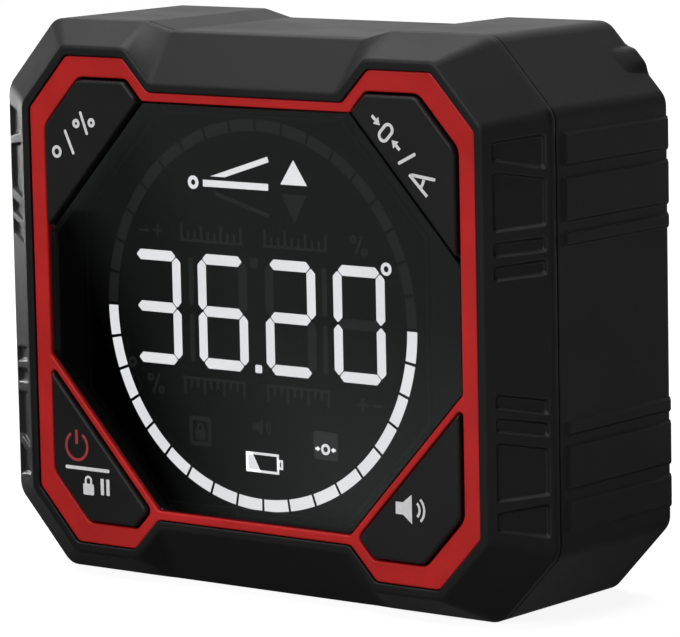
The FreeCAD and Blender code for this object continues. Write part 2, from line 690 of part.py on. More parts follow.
def magnet_shape(side, radius, low, high):
    """Upright cylinder at a magnet's place, between two heights above the base."""
    middle = (PARTING_BACK + CASING_DEPTH) / 2
    foot = place(side * MAGNET_X, low - CASING_HALF_HEIGHT, middle)
    return Part.makeCylinder(radius, high - low, foot, Vector(0, 0, 1))


def magnet_boss(side):
    """Boss that holds a magnet above the base wall."""
    top = MAGNET_SET_IN + MAGNET_THICK + MAGNET_WALL
    return magnet_shape(side, MAGNET_RADIUS + MAGNET_WALL, WALL / 2, top)


def base_magnets():
    """Two disc magnets, just inside the base."""
    top = MAGNET_SET_IN + MAGNET_THICK
    discs = [magnet_shape(side, MAGNET_RADIUS, MAGNET_SET_IN, top) for side in (LEFT, RIGHT)]
    return Part.makeCompound(discs)


def shell_gasket():
    """Seal in the parting groove."""
    outer = slab(inset(casing_outline(), GASKET_SET_IN), PARTING_FRONT, PARTING_BACK)
    ring = outer.cut(slab(inset(casing_outline(), WALL), PARTING_FRONT, PARTING_BACK))
    return ring.cut(boss_room())


# ---------------------------------------------------------------- screws
def screw(x, rise, seat, radius, length, head):
    """Pan-head screw with a cross recess; its tip points to the front."""
    head_radius, head_height = head
    shank = rod(x, rise, radius, seat - length, seat)
    cap = rod(x, rise, head_radius, seat, seat + head_height)
    top = seat + head_height
    floor = top - CROSS_DEEP
    long, narrow = head_radius * CROSS_LENGTH, head_radius * CROSS_WIDTH
    cross = chip(x, rise, long, narrow, floor, top).fuse(chip(x, rise, narrow, long, floor, top))
    return fused([shank, cap]).cut(cross)


def shell_screws():
    """Four screws that draw the casings together."""
    return Part.makeCompound([
        screw(side * CASE_SCREW_X, end * CASE_SCREW_RISE, CASE_SEAT, CASE_SCREW_RADIUS,
              CASE_SCREW_LENGTH, CASE_SCREW_HEAD)
        for side, end in CORNERS])


def board_screws():
    """Four screws that hold the board to the front casing."""
    return Part.makeCompound([
        screw(side * BOARD_SCREW_X, end * BOARD_SCREW_RISE, BOARD_BACK, BOARD_SCREW_RADIUS,
              BOARD_SCREW_LENGTH, BOARD_SCREW_HEAD)
        for side, end in CORNERS])


def cover_screws():
    """Two captive screws of the battery cover."""
    return Part.makeCompound([
        screw(0, end * COVER_SCREW_RISE, COVER_SCREW_SEAT, COVER_SCREW_RADIUS,
              COVER_SCREW_LENGTH, COVER_SCREW_HEAD)
        for end in (LOWER, UPPER)])


# ---------------------------------------------------------------- front pieces
def trim_frame():
    """Red frame round the window and the four keys."""
    key = key_opening()
    keys_and_window = [
        (x_at(WINDOW_REACH, TRIM_DIP_INNER), -TRIM_DIP_INNER),
        (TRIM_INNER_X, -rise_at(WINDOW_REACH, TRIM_INNER_X)),
        key[1], key[2], key[3],
        (key[4][0], TRIM_DIP_INNER),
    ]
    opening = keys_and_window + [(-x, rise) for x, rise in keys_and_window[::-1]]
    rounds = [WINDOW_ROUND, WINDOW_ROUND, *KEY_ROUNDS[1:4], WINDOW_ROUND]
    outline = trim_outline()
    frame = rounded_slab(outline, evenly(TRIM_ROUND, outline), 0, TRIM_THICK)
    frame = frame.cut(rounded_slab(opening, rounds + rounds[::-1], 0, TRIM_THICK))
    for side in (LEFT, RIGHT):
        lower_key = rounded_slab(key, KEY_ROUNDS, 0, TRIM_THICK)
        frame = frame.cut(at_corner(lower_key, side, LOWER))
    return filleted(frame, TRIM_EDGE, at_depth(0))


def display_window():
    """Dark window let in just behind the trim's face."""
    back = WINDOW_SET_BACK + WINDOW_THICK
    outline = window_outline(WINDOW_GAP)
    pane = rounded_slab(outline, evenly(WINDOW_ROUND, outline), WINDOW_SET_BACK, back)
    front_edges = [edge for edge in pane.Edges if at_depth(WINDOW_SET_BACK)(edge)]
    return pane.makeChamfer(WINDOW_EDGE, front_edges)


def window_tape():
    """Adhesive frame between the window and its ledge."""
    near = WINDOW_SET_BACK + WINDOW_THICK
    tape = slab(window_outline(WINDOW_GAP), near, near + TAPE_THICK)
    return tape.cut(slab(lcd_outline(LCD_GAP + WINDOW_GAP), near, near + TAPE_THICK))


def lcd_foam():
    """Thin foam frame between the window and the display glass."""
    near = WINDOW_SET_BACK + WINDOW_THICK
    foam = slab(lcd_outline(), near, LCD_FRONT)
    return foam.cut(slab(lcd_outline(-FOAM_WIDTH), near, LCD_FRONT))


def keycap(side, end):
    """One corner key: face, stem through the plate, retaining flange and post."""
    opening = key_opening()
    radii = [radius - KEY_GAP for radius in KEY_ROUNDS]
    stem = rounded_slab(inset(opening, KEY_GAP), radii, -KEY_PROUD, KEY_FLANGE_FRONT)
    stem = filleted(stem, KEY_EDGE, at_depth(-KEY_PROUD))
    flange = slab(inset(opening, -KEY_FLANGE_WIDTH), KEY_FLANGE_FRONT, KEY_FLANGE_BACK)
    post = rod(SWITCH_X, SWITCH_RISE, KEY_POST_RADIUS, KEY_FLANGE_FRONT, PLUNGER_FRONT)
    return at_corner(fused([stem, flange, post]), side, end)


def switch_plunger(side, end):
    """Button of the switch under a key."""
    return rod(side * SWITCH_X, end * SWITCH_RISE, PLUNGER_RADIUS, PLUNGER_FRONT, SWITCH_FRONT + PLUNGER_DEEP)


def switch_housing(side, end):
    """Square switch body on the board with a round well for its plunger."""
    x, rise = side * SWITCH_X, end * SWITCH_RISE
    body = chip(x, rise, SWITCH_SIDE, SWITCH_SIDE, SWITCH_FRONT, BOARD_FRONT)
    well_back = SWITCH_FRONT + PLUNGER_DEEP + KEY_TRAVEL + PLUNGER_FLOOR_GAP
    return body.cut(rod(x, rise, PLUNGER_RADIUS + PLUNGER_RUNNING, SWITCH_FRONT, well_back))


# ---------------------------------------------------------------- display stack
def lcd_glass():
    """Display cell."""
    return slab(lcd_outline(), LCD_FRONT, LCD_BACK)


def backlight_outline(grow=0.0):
    """Outline of the light guide behind the display."""
    return octagon(LCD_HALF_WIDTH - BACKLIGHT_INSET_SIDE + grow, LCD_HALF_HEIGHT - BACKLIGHT_INSET + grow,
                   LCD_REACH - BACKLIGHT_INSET + grow)


def led_place(side):
    """Middle of the light that shines into one side of the light guide."""
    return side * (LCD_HALF_WIDTH - BACKLIGHT_INSET_SIDE - LED_SIZE[1] / 2)


def backlight_panel():
    """Light guide with a pocket for a light at each side."""
    panel = slab(backlight_outline(), LCD_BACK, BACKLIGHT_BACK)
    middle = (LCD_BACK + BACKLIGHT_BACK) / 2
    near, far = middle - LED_SIZE[2] / 2, middle + LED_SIZE[2] / 2
    for side in (LEFT, RIGHT):
        panel = panel.cut(chip(led_place(side), 0, LED_SIZE[1], LED_SIZE[0], near, far))
    return panel


def backlight_leds():
    """One side-firing light in each pocket of the light guide."""
    middle = (LCD_BACK + BACKLIGHT_BACK) / 2
    near, far = middle - LED_SIZE[2] / 2, middle + LED_SIZE[2] / 2
    return Part.makeCompound([
        chip(led_place(side), 0, LED_SIZE[1], LED_SIZE[0], near, far) for side in (LEFT, RIGHT)])


def strip_middle():
    """X of the middle of the right contact strip."""
    edge = LCD_HALF_WIDTH - BACKLIGHT_INSET_SIDE
    return (edge + LCD_HALF_WIDTH) / 2


def contact_strip(side):
    """Elastomer strip that joins the display to the board."""
    return chip(side * strip_middle(), 0, STRIP_WIDTH, 2 * STRIP_HALF_LENGTH, LCD_BACK, BOARD_FRONT)


def peg_places():
    """Places of the holder's four pegs, in its side walls."""
    x = LCD_HALF_WIDTH + (HOLDER_GAP + HOLDER_WALL_SIDE) / 2
    return [(side * x, end * HOLDER_PEG_RISE) for side, end in CORNERS]


def lcd_holder():
    """Frame that carries the display and its backlight on the board."""
    outer = octagon(LCD_HALF_WIDTH + HOLDER_WALL_SIDE, LCD_HALF_HEIGHT + HOLDER_WALL, LCD_REACH + HOLDER_WALL)
    floor_back = BACKLIGHT_BACK + HOLDER_FLOOR
    frame = slab(outer, PLATE_BACK, BOARD_FRONT)
    frame = frame.cut(slab(lcd_outline(HOLDER_GAP), PLATE_BACK, LCD_BACK))
    frame = frame.cut(slab(backlight_outline(HOLDER_GAP), LCD_BACK, BACKLIGHT_BACK))
    frame = frame.cut(slab(backlight_outline(-HOLDER_WINDOW_INSET), BACKLIGHT_BACK, floor_back))
    frame = frame.cut(slab(backlight_outline(), floor_back, BOARD_FRONT))
    for side in (LEFT, RIGHT):
        frame = frame.cut(chip(side * strip_middle(), 0, STRIP_WIDTH + HOLDER_GAP,
                               2 * STRIP_HALF_LENGTH + HOLDER_GAP, LCD_BACK, BOARD_FRONT))
    pegs = [rod(x, rise, HOLDER_PEG_RADIUS, BOARD_FRONT, BOARD_BACK) for x, rise in peg_places()]
    return fused([frame] + pegs)


# ---------------------------------------------------------------- board
def main_board():
    """Circuit board with holes for its screws and the holder's pegs."""
    outline = octagon(BOARD_HALF_WIDTH, LCD_HALF_HEIGHT + BOARD_MARGIN_RISE, BOARD_REACH)
    board = slab(outline, BOARD_FRONT, BOARD_BACK)
    for side, end in CORNERS:
        board = board.cut(rod(side * BOARD_SCREW_X, end * BOARD_SCREW_RISE,
                              BOARD_SCREW_RADIUS + SCREW_CLEARANCE, BOARD_FRONT, BOARD_BACK))
    for x, rise in peg_places():
        board = board.cut(rod(x, rise, HOLDER_PEG_RADIUS + THREAD_CLEARANCE, BOARD_FRONT, BOARD_BACK))
    return board


def microcontroller():
    """Main processor on the back of the board, with leads on all four sides."""
    x, rise = PROCESSOR_PLACE
    shapes = [chip(x, rise, PROCESSOR_SIDE, PROCESSOR_SIDE,
                   BOARD_BACK + PROCESSOR_STAND_OFF, BOARD_BACK + PROCESSOR_THICK)]
    span = PROCESSOR_SIDE + 2 * LEAD_REACH
    for number in range(LEADS_PER_SIDE):
        shift = (number - (LEADS_PER_SIDE - 1) / 2) * LEAD_PITCH
        shapes.append(chip(x + shift, rise, LEAD_WIDTH, span, BOARD_BACK, BOARD_BACK + LEAD_WIDTH))
        shapes.append(chip(x, rise + shift, span, LEAD_WIDTH, BOARD_BACK, BOARD_BACK + LEAD_WIDTH))
    return fused(shapes)


def board_part(place_on_board, size):
    """Plain rectangular part on the back of the board."""
    x, rise = place_on_board
    length, width, height = size
    return chip(x, rise, length, width, BOARD_BACK, BOARD_BACK + height)


def part_row(count, first_place, size):
    """Row of equal small parts along X."""
    x, rise = first_place
    places = [(x + number * SMALL_PART_PITCH, rise) for number in range(count)]
    return Part.makeCompound([board_part(spot, size) for spot in places])


def buzzer():
    """Round beeper with a sound hole."""
    x, rise = BUZZER_PLACE
    back = BOARD_BACK + BUZZER_HEIGHT
    body = rod(x, rise, BUZZER_RADIUS, BOARD_BACK, back)
    return body.cut(rod(x, rise, BUZZER_HOLE_RADIUS, back - BUZZER_HEIGHT / 2, back))


# ---------------------------------------------------------------- battery
def cell(side):
    """AAA cell; side is where its positive end points. The upper cell's points right."""
    rise = side * CELL_SPACING / 2
    plate_face = TUB_HALF_LENGTH - PLATE_THICK
    tip = side * plate_face
    direction = Vector(-side, 0, 0)
    nub = Part.makeCylinder(CELL_NUB_RADIUS, CELL_NUB_LENGTH, place(tip, rise, CELL_DEPTH), direction)
    shoulder = place(tip - side * CELL_NUB_LENGTH, rise, CELL_DEPTH)
    can = Part.makeCylinder(CELL_RADIUS, CELL_LENGTH - CELL_NUB_LENGTH, shoulder, direction)
    return fused([can, nub])


def contact_plate(side, end):
    """Flat contact plate on an end wall of the compartment."""
    wall = side * TUB_HALF_LENGTH
    face = side * (TUB_HALF_LENGTH - PLATE_THICK)
    rise = end * CELL_SPACING / 2
    return block((wall, face), (rise - PLATE_SIDE / 2, rise + PLATE_SIDE / 2),
                 CELL_DEPTH - PLATE_SIDE / 2, CELL_DEPTH + PLATE_SIDE / 2)


def contact_leaf(side, end):
    """Bowed leaf that presses on the flat end of a cell."""
    face = TUB_HALF_LENGTH - PLATE_THICK
    tip = face - SPRING_ROOM
    root, free = CELL_DEPTH + PLATE_SIDE / 2, CELL_DEPTH - PLATE_SIDE / 2
    thick = 2 * PLATE_THICK
    side_view = [
        (face, root), (face, root - thick), (tip + thick, CELL_DEPTH), (face - thick, free),
        (face - 2 * thick, free), (tip, CELL_DEPTH - thick / 2), (tip, CELL_DEPTH + thick / 2),
        (face - thick, root),
    ]
    rise = end * CELL_SPACING / 2 - LEAF_WIDTH / 2
    corners = [place(side * x, rise, depth) for x, depth in side_view]
    face_shape = Part.Face(Part.makePolygon(corners + corners[:1]))
    return face_shape.extrude(Vector(0, 0, LEAF_WIDTH))


def contact_leg(end):
    """Leg of a left contact that passes the compartment's floor and presses on the board."""
    wall, face = -TUB_HALF_LENGTH, -TUB_HALF_LENGTH + PLATE_THICK
    rise = end * CELL_SPACING / 2
    return block((wall, face), (rise - LEG_WIDTH / 2, rise + LEG_WIDTH / 2), BOARD_BACK, CELL_DEPTH)


def contact_positive():
    """Left contact of the lower cell's positive end."""
    return fused([contact_plate(LEFT, LOWER), contact_leg(LOWER)])


def contact_negative():
    """Left sprung contact of the upper cell's negative end."""
    return fused([contact_plate(LEFT, UPPER), contact_leaf(LEFT, UPPER), contact_leg(UPPER)])


def contact_bridge():
    """Right contact that joins the two cells in series."""
    link = block((TUB_HALF_LENGTH, TUB_HALF_LENGTH - PLATE_THICK), (-CELL_SPACING / 2, CELL_SPACING / 2),
                 CELL_DEPTH - PLATE_SIDE / 4, CELL_DEPTH + PLATE_SIDE / 4)
    return fused([contact_plate(RIGHT, UPPER), contact_plate(RIGHT, LOWER), contact_leaf(RIGHT, LOWER), link])


def battery_cover():
    """Flush cover with a tongue and a screw hole at its top and bottom."""
    cover = slab(cover_outline(COVER_SIDE_GAP), COVER_FRONT, CASING_DEPTH)
    cover = filleted(cover, COVER_EDGE, at_depth(CASING_DEPTH))
    for end in (LOWER, UPPER):
        rise = end * COVER_SCREW_RISE
        cover = cover.cut(rod(0, rise, COUNTERBORE_RADIUS, COVER_SCREW_SEAT, CASING_DEPTH))
        cover = cover.cut(rod(0, rise, COVER_SCREW_RADIUS + SCREW_CLEARANCE, COVER_FRONT, COVER_SCREW_SEAT))
    return cover


def cover_foam():
    """Foam pad on the inside of the cover, over the cells."""
    length, width, thick = COVER_FOAM
    return chip(0, 0, length, width, COVER_FRONT - thick, COVER_FRONT)


# ---------------------------------------------------------------- assembly
KEYS = {
    "unit": (LEFT, UPPER),
    "reference": (RIGHT, UPPER),
    "power": (LEFT, LOWER),
    "sound": (RIGHT, LOWER),
}


def pieces():
    """Every piece of the assembly by its node name."""
    made = {
        "front_shell": front_shell(),
        "rear_shell": rear_shell(),
        "shell_gasket": shell_gasket(),
        "shell_screws": shell_screws(),
        "trim_frame": trim_frame(),
        "display_window": display_window(),
        "window_tape": window_tape(),
        "lcd_foam": lcd_foam(),
        "lcd_glass": lcd_glass(),
        "backlight_panel": backlight_panel(),
        "backlight_leds": backlight_leds(),
        "lcd_holder": lcd_holder(),
        "contact_strip_left": contact_strip(LEFT),
        "contact_strip_right": contact_strip(RIGHT),
        "main_board": main_board(),
        "board_screws": board_screws(),
        "microcontroller": microcontroller(),
        "tilt_sensor": board_part(SENSOR_PLACE, SENSOR_SIZE),
        "memory_chip": board_part(MEMORY_PLACE, MEMORY_SIZE),
        "regulator": board_part(REGULATOR_PLACE, REGULATOR_SIZE),
        "crystal": board_part(CRYSTAL_PLACE, CRYSTAL_SIZE),
        "storage_inductor": board_part(INDUCTOR_PLACE, INDUCTOR_SIZE),
        "chip_capacitors": part_row(CAPACITOR_COUNT, CAPACITOR_PLACE, CAPACITOR_SIZE),
        "chip_resistors": part_row(RESISTOR_COUNT, RESISTOR_PLACE, RESISTOR_SIZE),
        "buzzer": buzzer(),
        "battery_upper": cell(UPPER),
        "battery_lower": cell(LOWER),
        "contact_bridge": contact_bridge(),
        "contact_positive": contact_positive(),
        "contact_negative": contact_negative(),
        "battery_cover": battery_cover(),
        "cover_screws": cover_screws(),
        "cover_foam": cover_foam(),
        "base_magnets": base_magnets(),
    }
    for name, (side, end) in KEYS.items():
        made[name + "_key"] = keycap(side, end)
        made[name + "_plunger"] = switch_plunger(side, end)
        made[name + "_switch"] = switch_housing(side, end)
    return made


def main():
    """Write every piece as its own STEP file and print the main sizes."""
    os.makedirs("parts", exist_ok=True)
    made = pieces()
    for name, shape in made.items():
        shape.exportStep("parts/" + name + ".step")
    box = Part.makeCompound(list(made.values())).optimalBoundingBox(True, False)
    print("pieces", len(made), "size", round(box.XLength, 2), round(box.YLength, 2), round(box.ZLength, 2))
    print("key travel", KEY_TRAVEL, "casing", 2 * CASING_HALF_WIDTH, CASING_DEPTH, 2 * CASING_HALF_HEIGHT)


main()
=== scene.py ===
"""Looks of a handheld digital inclinometer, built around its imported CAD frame.

Sizes are in millimetres, as the casing's own drawing has them: x runs right, depth runs
back from the face of the red trim, and rise runs up from the middle of the display.
"""

import json
import logging
import math
from dataclasses import dataclass, field
from enum import Enum
from typing import Callable, NamedTuple, Sequence

import bpy
from mathutils import Matrix, Vector


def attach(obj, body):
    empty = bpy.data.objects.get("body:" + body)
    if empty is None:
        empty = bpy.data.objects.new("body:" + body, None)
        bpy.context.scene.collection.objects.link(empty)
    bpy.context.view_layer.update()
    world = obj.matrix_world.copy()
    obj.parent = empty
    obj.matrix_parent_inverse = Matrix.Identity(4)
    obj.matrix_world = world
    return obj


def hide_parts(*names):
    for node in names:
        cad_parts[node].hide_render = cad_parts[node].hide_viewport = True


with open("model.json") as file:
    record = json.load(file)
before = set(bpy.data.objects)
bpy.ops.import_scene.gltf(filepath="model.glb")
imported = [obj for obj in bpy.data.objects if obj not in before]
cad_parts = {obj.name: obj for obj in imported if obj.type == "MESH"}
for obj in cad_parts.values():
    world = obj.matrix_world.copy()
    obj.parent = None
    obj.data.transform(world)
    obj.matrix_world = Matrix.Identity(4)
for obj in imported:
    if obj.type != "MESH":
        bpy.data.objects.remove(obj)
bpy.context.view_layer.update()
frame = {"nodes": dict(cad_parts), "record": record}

MM = 0.001
FACE_Y = -13.8          # y of the trim's face
MIDDLE_Z = 33.5         # z of the display's middle
CORNER_LEAN = 42.88     # degrees that the corner faces point above the X axis
MERGE = 1e-7            # metres within which two corners are one

log = logging.getLogger("inclinometer")

Place = tuple[float, float]
Span = tuple[float, float]
Triple = tuple[float, float, float]
Piece = bpy.types.Object
Material = bpy.types.Material
Tree = bpy.types.NodeTree
Node = bpy.types.Node
Socket = bpy.types.NodeSocket
Inputs = dict[str | int, object] | Sequence[object]


# ---------------------------------------------------------------- modelling helpers
def seat(x: float, depth: float, rise: float) -> Vector:
    """Turns a place on the casing's drawing to a point in metres.

    Args:
        x: Distance right of the middle.
        depth: Distance behind the trim's face.
        rise: Height above the display's middle.

    Returns:
        The point in the part's frame.
    """
    return Vector((x, FACE_Y + depth, MIDDLE_Z + rise)) * MM


def start_clean() -> None:
    """Leaves edit mode and deselects every object."""
    active = bpy.context.view_layer.objects.active
    if active is not None and active.mode != "OBJECT":
        bpy.ops.object.mode_set(mode="OBJECT")
    bpy.ops.object.select_all(action="DESELECT")


def take(piece: Piece) -> None:
    """Makes one object the only selected and the active one.

    Args:
        piece: The object.
    """
    start_clean()
    piece.select_set(True)
    bpy.context.view_layer.objects.active = piece


def fix_scale(piece: Piece) -> None:
    """Applies an object's scale and leaves its place and turn."""
    take(piece)
    bpy.ops.object.transform_apply(location=False, rotation=False, scale=True)


class Pick(Enum):
    """What a selection in edit mode is made of."""

    EDGES = "EDGE"
    FACES = "FACE"


def pick(piece: Piece, kind: Pick, test: Callable[[Sequence[Vector]], bool]) -> None:
    """Enters edit mode with only the edges or faces selected that pass a test.

    Args:
        piece: The object to shape.
        kind: Whether edges or faces are tested.
        test: Takes the corners of one edge or face and says if it is wanted.
    """
    take(piece)
    bpy.ops.object.mode_set(mode="EDIT")
    bpy.ops.mesh.select_mode(type=kind.value)
    bpy.ops.mesh.select_all(action="DESELECT")
    bpy.ops.object.mode_set(mode="OBJECT")
    mesh = piece.data
    for item in mesh.edges if kind is Pick.EDGES else mesh.polygons:
        item.select = test([mesh.vertices[i].co for i in item.vertices])
    bpy.ops.object.mode_set(mode="EDIT")


def pick_all(piece: Piece) -> None:
    """Enters edit mode with the whole mesh selected.

    Args:
        piece: The object to shape.
    """
    take(piece)
    bpy.ops.object.mode_set(mode="EDIT")
    bpy.ops.mesh.select_all(action="SELECT")


def settle(piece: Piece, name: str, smooth_degrees: float = 30.0) -> Piece:
    """Puts a finished piece's place in its mesh, merges doubles and turns its faces outwards.

    Args:
        piece: The object to finish.
        name: The name that it gets.
        smooth_degrees: Edges flatter than this are shaded smooth.

    Returns:
        The same object.
    """
    take(piece)
    bpy.ops.object.transform_apply(location=True, rotation=True, scale=True)
    pick_all(piece)
    bpy.ops.mesh.remove_doubles(threshold=MERGE)
    bpy.ops.mesh.normals_make_consistent(inside=False)
    bpy.ops.object.mode_set(mode="OBJECT")
    bpy.ops.object.shade_smooth_by_angle(angle=math.radians(smooth_degrees))
    piece.name = name
    piece.data.name = name
    return piece


def stamp(model: Piece, move: Matrix) -> Piece:
    """Copies a model with its own mesh and moves the copy.

    Args:
        model: The object to copy.
        move: Where the copy goes, from the model's place.

    Returns:
        The copy.
    """
    twin = model.copy()
    twin.data = model.data.copy()
    twin.matrix_world = move @ model.matrix_world
    bpy.context.scene.collection.objects.link(twin)
    return twin


def joined(parts: list[Piece], name: str) -> Piece:
    """Joins objects to one settled piece.

    Args:
        parts: The objects.
        name: The name that the piece gets.

    Returns:
        The piece.
    """
    for part in parts:
        fix_scale(part)
    start_clean()
    for part in parts:
        part.select_set(True)
    bpy.context.view_layer.objects.active = parts[0]
    if len(parts) > 1:
        bpy.ops.object.join()
    return settle(bpy.context.view_layer.objects.active, name)


# ---------------------------------------------------------------- materials
MIDTONES: Span = (0.3, 0.7)         # the values between which most of a noise lies
MASK: Span = (0.0, 1.0)             # from none to all
EDGE_MATCH: Span = (0.995, 0.9)     # how well normals agree, from a flat face to an edge
PATCHES: Span = (0.38, 0.6)         # noise from the faintest place of the lighter edges to the fullest
LEAST_EDGE_BAND = 0.15                 # how much of the lighter edges stays between their patches


def linear(code: str) -> tuple[float, ...]:
    """Turns an sRGB hex colour to linear values.

    Args:
        code: Six hex digits.

    Returns:
        Red, green, blue and an alpha of 1.
    """
    shares = [int(code[i:i + 2], 16) / 255 for i in (0, 2, 4)]
    return (*(s / 12.92 if s <= 0.04045 else ((s + 0.055) / 1.055) ** 2.4 for s in shares), 1.0)


def plug(node: Node, inputs: Inputs) -> None:
    """Fills a node's inputs.

    Args:
        node: The node.
        inputs: A value or an output socket for each input, by its name or number or in order.
    """
    for key, value in inputs.items() if isinstance(inputs, dict) else enumerate(inputs):
        if isinstance(value, Socket):
            node.id_data.links.new(value, node.inputs[key])
        else:
            node.inputs[key].default_value = value


def add_node(tree: Tree, kind: str, inputs: Inputs = (), **settings: str | int) -> Node:
    """Adds a node with its settings, values and links.

    Args:
        tree: The tree that gets the node.
        kind: The node's type.
        inputs: A value or an output socket for each input, by its name or number or in order.
        **settings: The node's own settings.

    Returns:
        The node.
    """
    node = tree.nodes.new(kind)
    for key, value in settings.items():
        setattr(node, key, value)
    plug(node, inputs)
    return node


def blank_material(name: str) -> tuple[Material, Tree, Node]:
    """Makes a material that holds a Principled shader and an output, linked.

    Args:
        name: The material's name.

    Returns:
        The material, its tree and its shader.
    """
    material = bpy.data.materials.new(name)
    material.use_nodes = True
    tree = material.node_tree
    tree.nodes.clear()
    shader = add_node(tree, "ShaderNodeBsdfPrincipled")
    add_node(tree, "ShaderNodeOutputMaterial", {"Surface": shader.outputs[0]})
    return material, tree, shader


def spots(tree: Tree, size_mm: float, detail: float = 2.0,
          stretch: Triple = (1.0, 1.0, 1.0)) -> Socket:
    """Adds a pattern of soft spots in Object coordinates.

    Args:
        tree: The material's tree.
        size_mm: Width of one spot.
        detail: Octaves of the noise.
        stretch: How much denser the spots are along each axis.

    Returns:
        The pattern's value.
    """
    place = add_node(tree, "ShaderNodeTexCoord").outputs["Object"]
    stretched = add_node(tree, "ShaderNodeMapping", {"Vector": place, "Scale": stretch}).outputs[0]
    return add_node(tree, "ShaderNodeTexNoise", {
        "Vector": stretched, "Scale": 1 / (size_mm * MM), "Detail": detail}).outputs["Fac"]


def toned(tree: Tree, code: str, pattern: Socket, darkest: float, palest: float) -> Socket:
    """Makes a colour a little darker and paler by a pattern.

    Args:
        tree: The material's tree.
        code: The colour, as six hex digits.
        pattern: The pattern's value.
        darkest: Brightness where the pattern is low.
        palest: Brightness where the pattern is high.

    Returns:
        The uneven colour.
    """
    value = add_node(tree, "ShaderNodeMapRange", (pattern, *MIDTONES, darkest, palest)).outputs[0]
    return add_node(tree, "ShaderNodeHueSaturation",
                    {"Value": value, "Color": linear(code)}).outputs[0]


def edge_share(tree: Tree, width_mm: float, patchy_mm: float) -> Socket:
    """Finds how near the surface is to a sharp edge, broken up in patches.

    Args:
        tree: The material's tree.
        width_mm: How far from an edge the mask reaches.
        patchy_mm: Width of the patches.

    Returns:
        A share from 0 on flat faces to 1 on edges.
    """
    rounded = add_node(tree, "ShaderNodeBevel", {"Radius": width_mm * MM}, samples=4).outputs[0]
    flat = add_node(tree, "ShaderNodeNewGeometry").outputs["Normal"]
    match = add_node(tree, "ShaderNodeVectorMath", (rounded, flat),
                     operation="DOT_PRODUCT").outputs["Value"]
    near = add_node(tree, "ShaderNodeMapRange", (match, *EDGE_MATCH, *MASK)).outputs[0]
    patches = add_node(tree, "ShaderNodeMapRange",
                       (spots(tree, patchy_mm, 3.0), *PATCHES, LEAST_EDGE_BAND, 1.0)).outputs[0]
    return add_node(tree, "ShaderNodeMath", (near, patches), operation="MULTIPLY").outputs[0]


@dataclass(frozen=True)
class MouldedPlastic:
    """Injection-moulded plastic with the grain of its mould and lighter edges: rubbed by hands, and
    on the casing also a painted highlight along the edges.
    """

    name: str
    colour: str
    worn_and_highlight: str                   # colour of the lighter edges: rubbed wear, and on the casing a painted highlight
    roughness: float
    grain_mm: float             # width of one grain, drawn coarse enough to show
    grain_depth_mm: float
    coat: float = 0.0
    specular: float = 0.5
    edge_mm: float = 0.25       # width of the lighter band along edges
    soft_mm: float = 0.12       # radius that shading gives each edge
    # how far edges turn to the edge colour: rubbed wear, and on the casing a painted highlight
    wear_and_highlight: float = 0.35
    polish: float = 0.2         # roughness that an edge loses where it is rubbed bare
    cloud_mm: float = 9.0       # width of the faint clouds in its tone and shine
    patch_mm: float = 2.2       # width of one patch of the lighter edges
    tones: Span = (0.88, 1.14)  # brightness of the clouds
    matter: Span = (-0.04, 0.05)        # what the clouds add to the roughness
    bump: float = 0.6
    coat_roughness: float = 0.12

    def build(self) -> Material:
        """Makes the material.

        Returns:
            The material.
        """
        material, tree, shader = blank_material(self.name)
        cloud = spots(tree, self.cloud_mm, 3.0)
        # Lighter edges: rubbed wear, and on the casing a painted highlight
        share = add_node(tree, "ShaderNodeMath",
                         (edge_share(tree, self.edge_mm, self.patch_mm), self.wear_and_highlight),
                         operation="MULTIPLY").outputs[0]
        tone = toned(tree, self.colour, cloud, *self.tones)
        matt = add_node(tree, "ShaderNodeMapRange", (
            cloud, *MIDTONES, *(self.roughness + more for more in self.matter))).outputs[0]
        softened = add_node(tree, "ShaderNodeBevel", {"Radius": self.soft_mm * MM}, samples=8)
        plug(shader, {
            "Base Color": add_node(tree, "ShaderNodeMix", {0: share, 6: tone, 7: linear(self.worn_and_highlight)},
                                   data_type="RGBA").outputs[2],
            "Roughness": add_node(tree, "ShaderNodeMath", (share, -self.polish, matt),
                                  operation="MULTIPLY_ADD").outputs[0],
            "Normal": add_node(tree, "ShaderNodeBump", {
                "Height": spots(tree, self.grain_mm, 1.0), "Normal": softened.outputs[0],
                "Strength": self.bump, "Distance": self.grain_depth_mm * MM}).outputs[0],
            "Specular IOR Level": self.specular,
            "Coat Weight": self.coat,
            "Coat Roughness": self.coat_roughness})
        return material


@dataclass(frozen=True)
class ClearAcrylic:
    """Cast acrylic sheet, polished on both sides, with a hard coat and fine wipe marks."""

    name: str
    tint: str
    roughness: float
    sheen: str                  # colour of the hard coat's reflection
    wipe_mm: float = 6.0        # width of one wipe mark
    wipe_stretch: Triple = (1.0, 1.0, 5.0)      # wipes run level
    wipe_share: Span = (0.4, 0.75)      # noise from a clean place to a wiped one
    smear: float = 0.035        # roughness that wiping adds
    ior: float = 1.49

    def build(self) -> Material:
        """Makes the material.

        Returns:
            The material.
        """
        material, tree, shader = blank_material(self.name)
        wipes = spots(tree, self.wipe_mm, 4.0, self.wipe_stretch)
        plug(shader, {
            "Base Color": linear(self.tint),
            "Specular Tint": linear(self.sheen),
            "Transmission Weight": 1.0,
            "IOR": self.ior,
            "Roughness": add_node(tree, "ShaderNodeMapRange", (
                wipes, *self.wipe_share, self.roughness,
                self.roughness + self.smear)).outputs[0]})
        return material


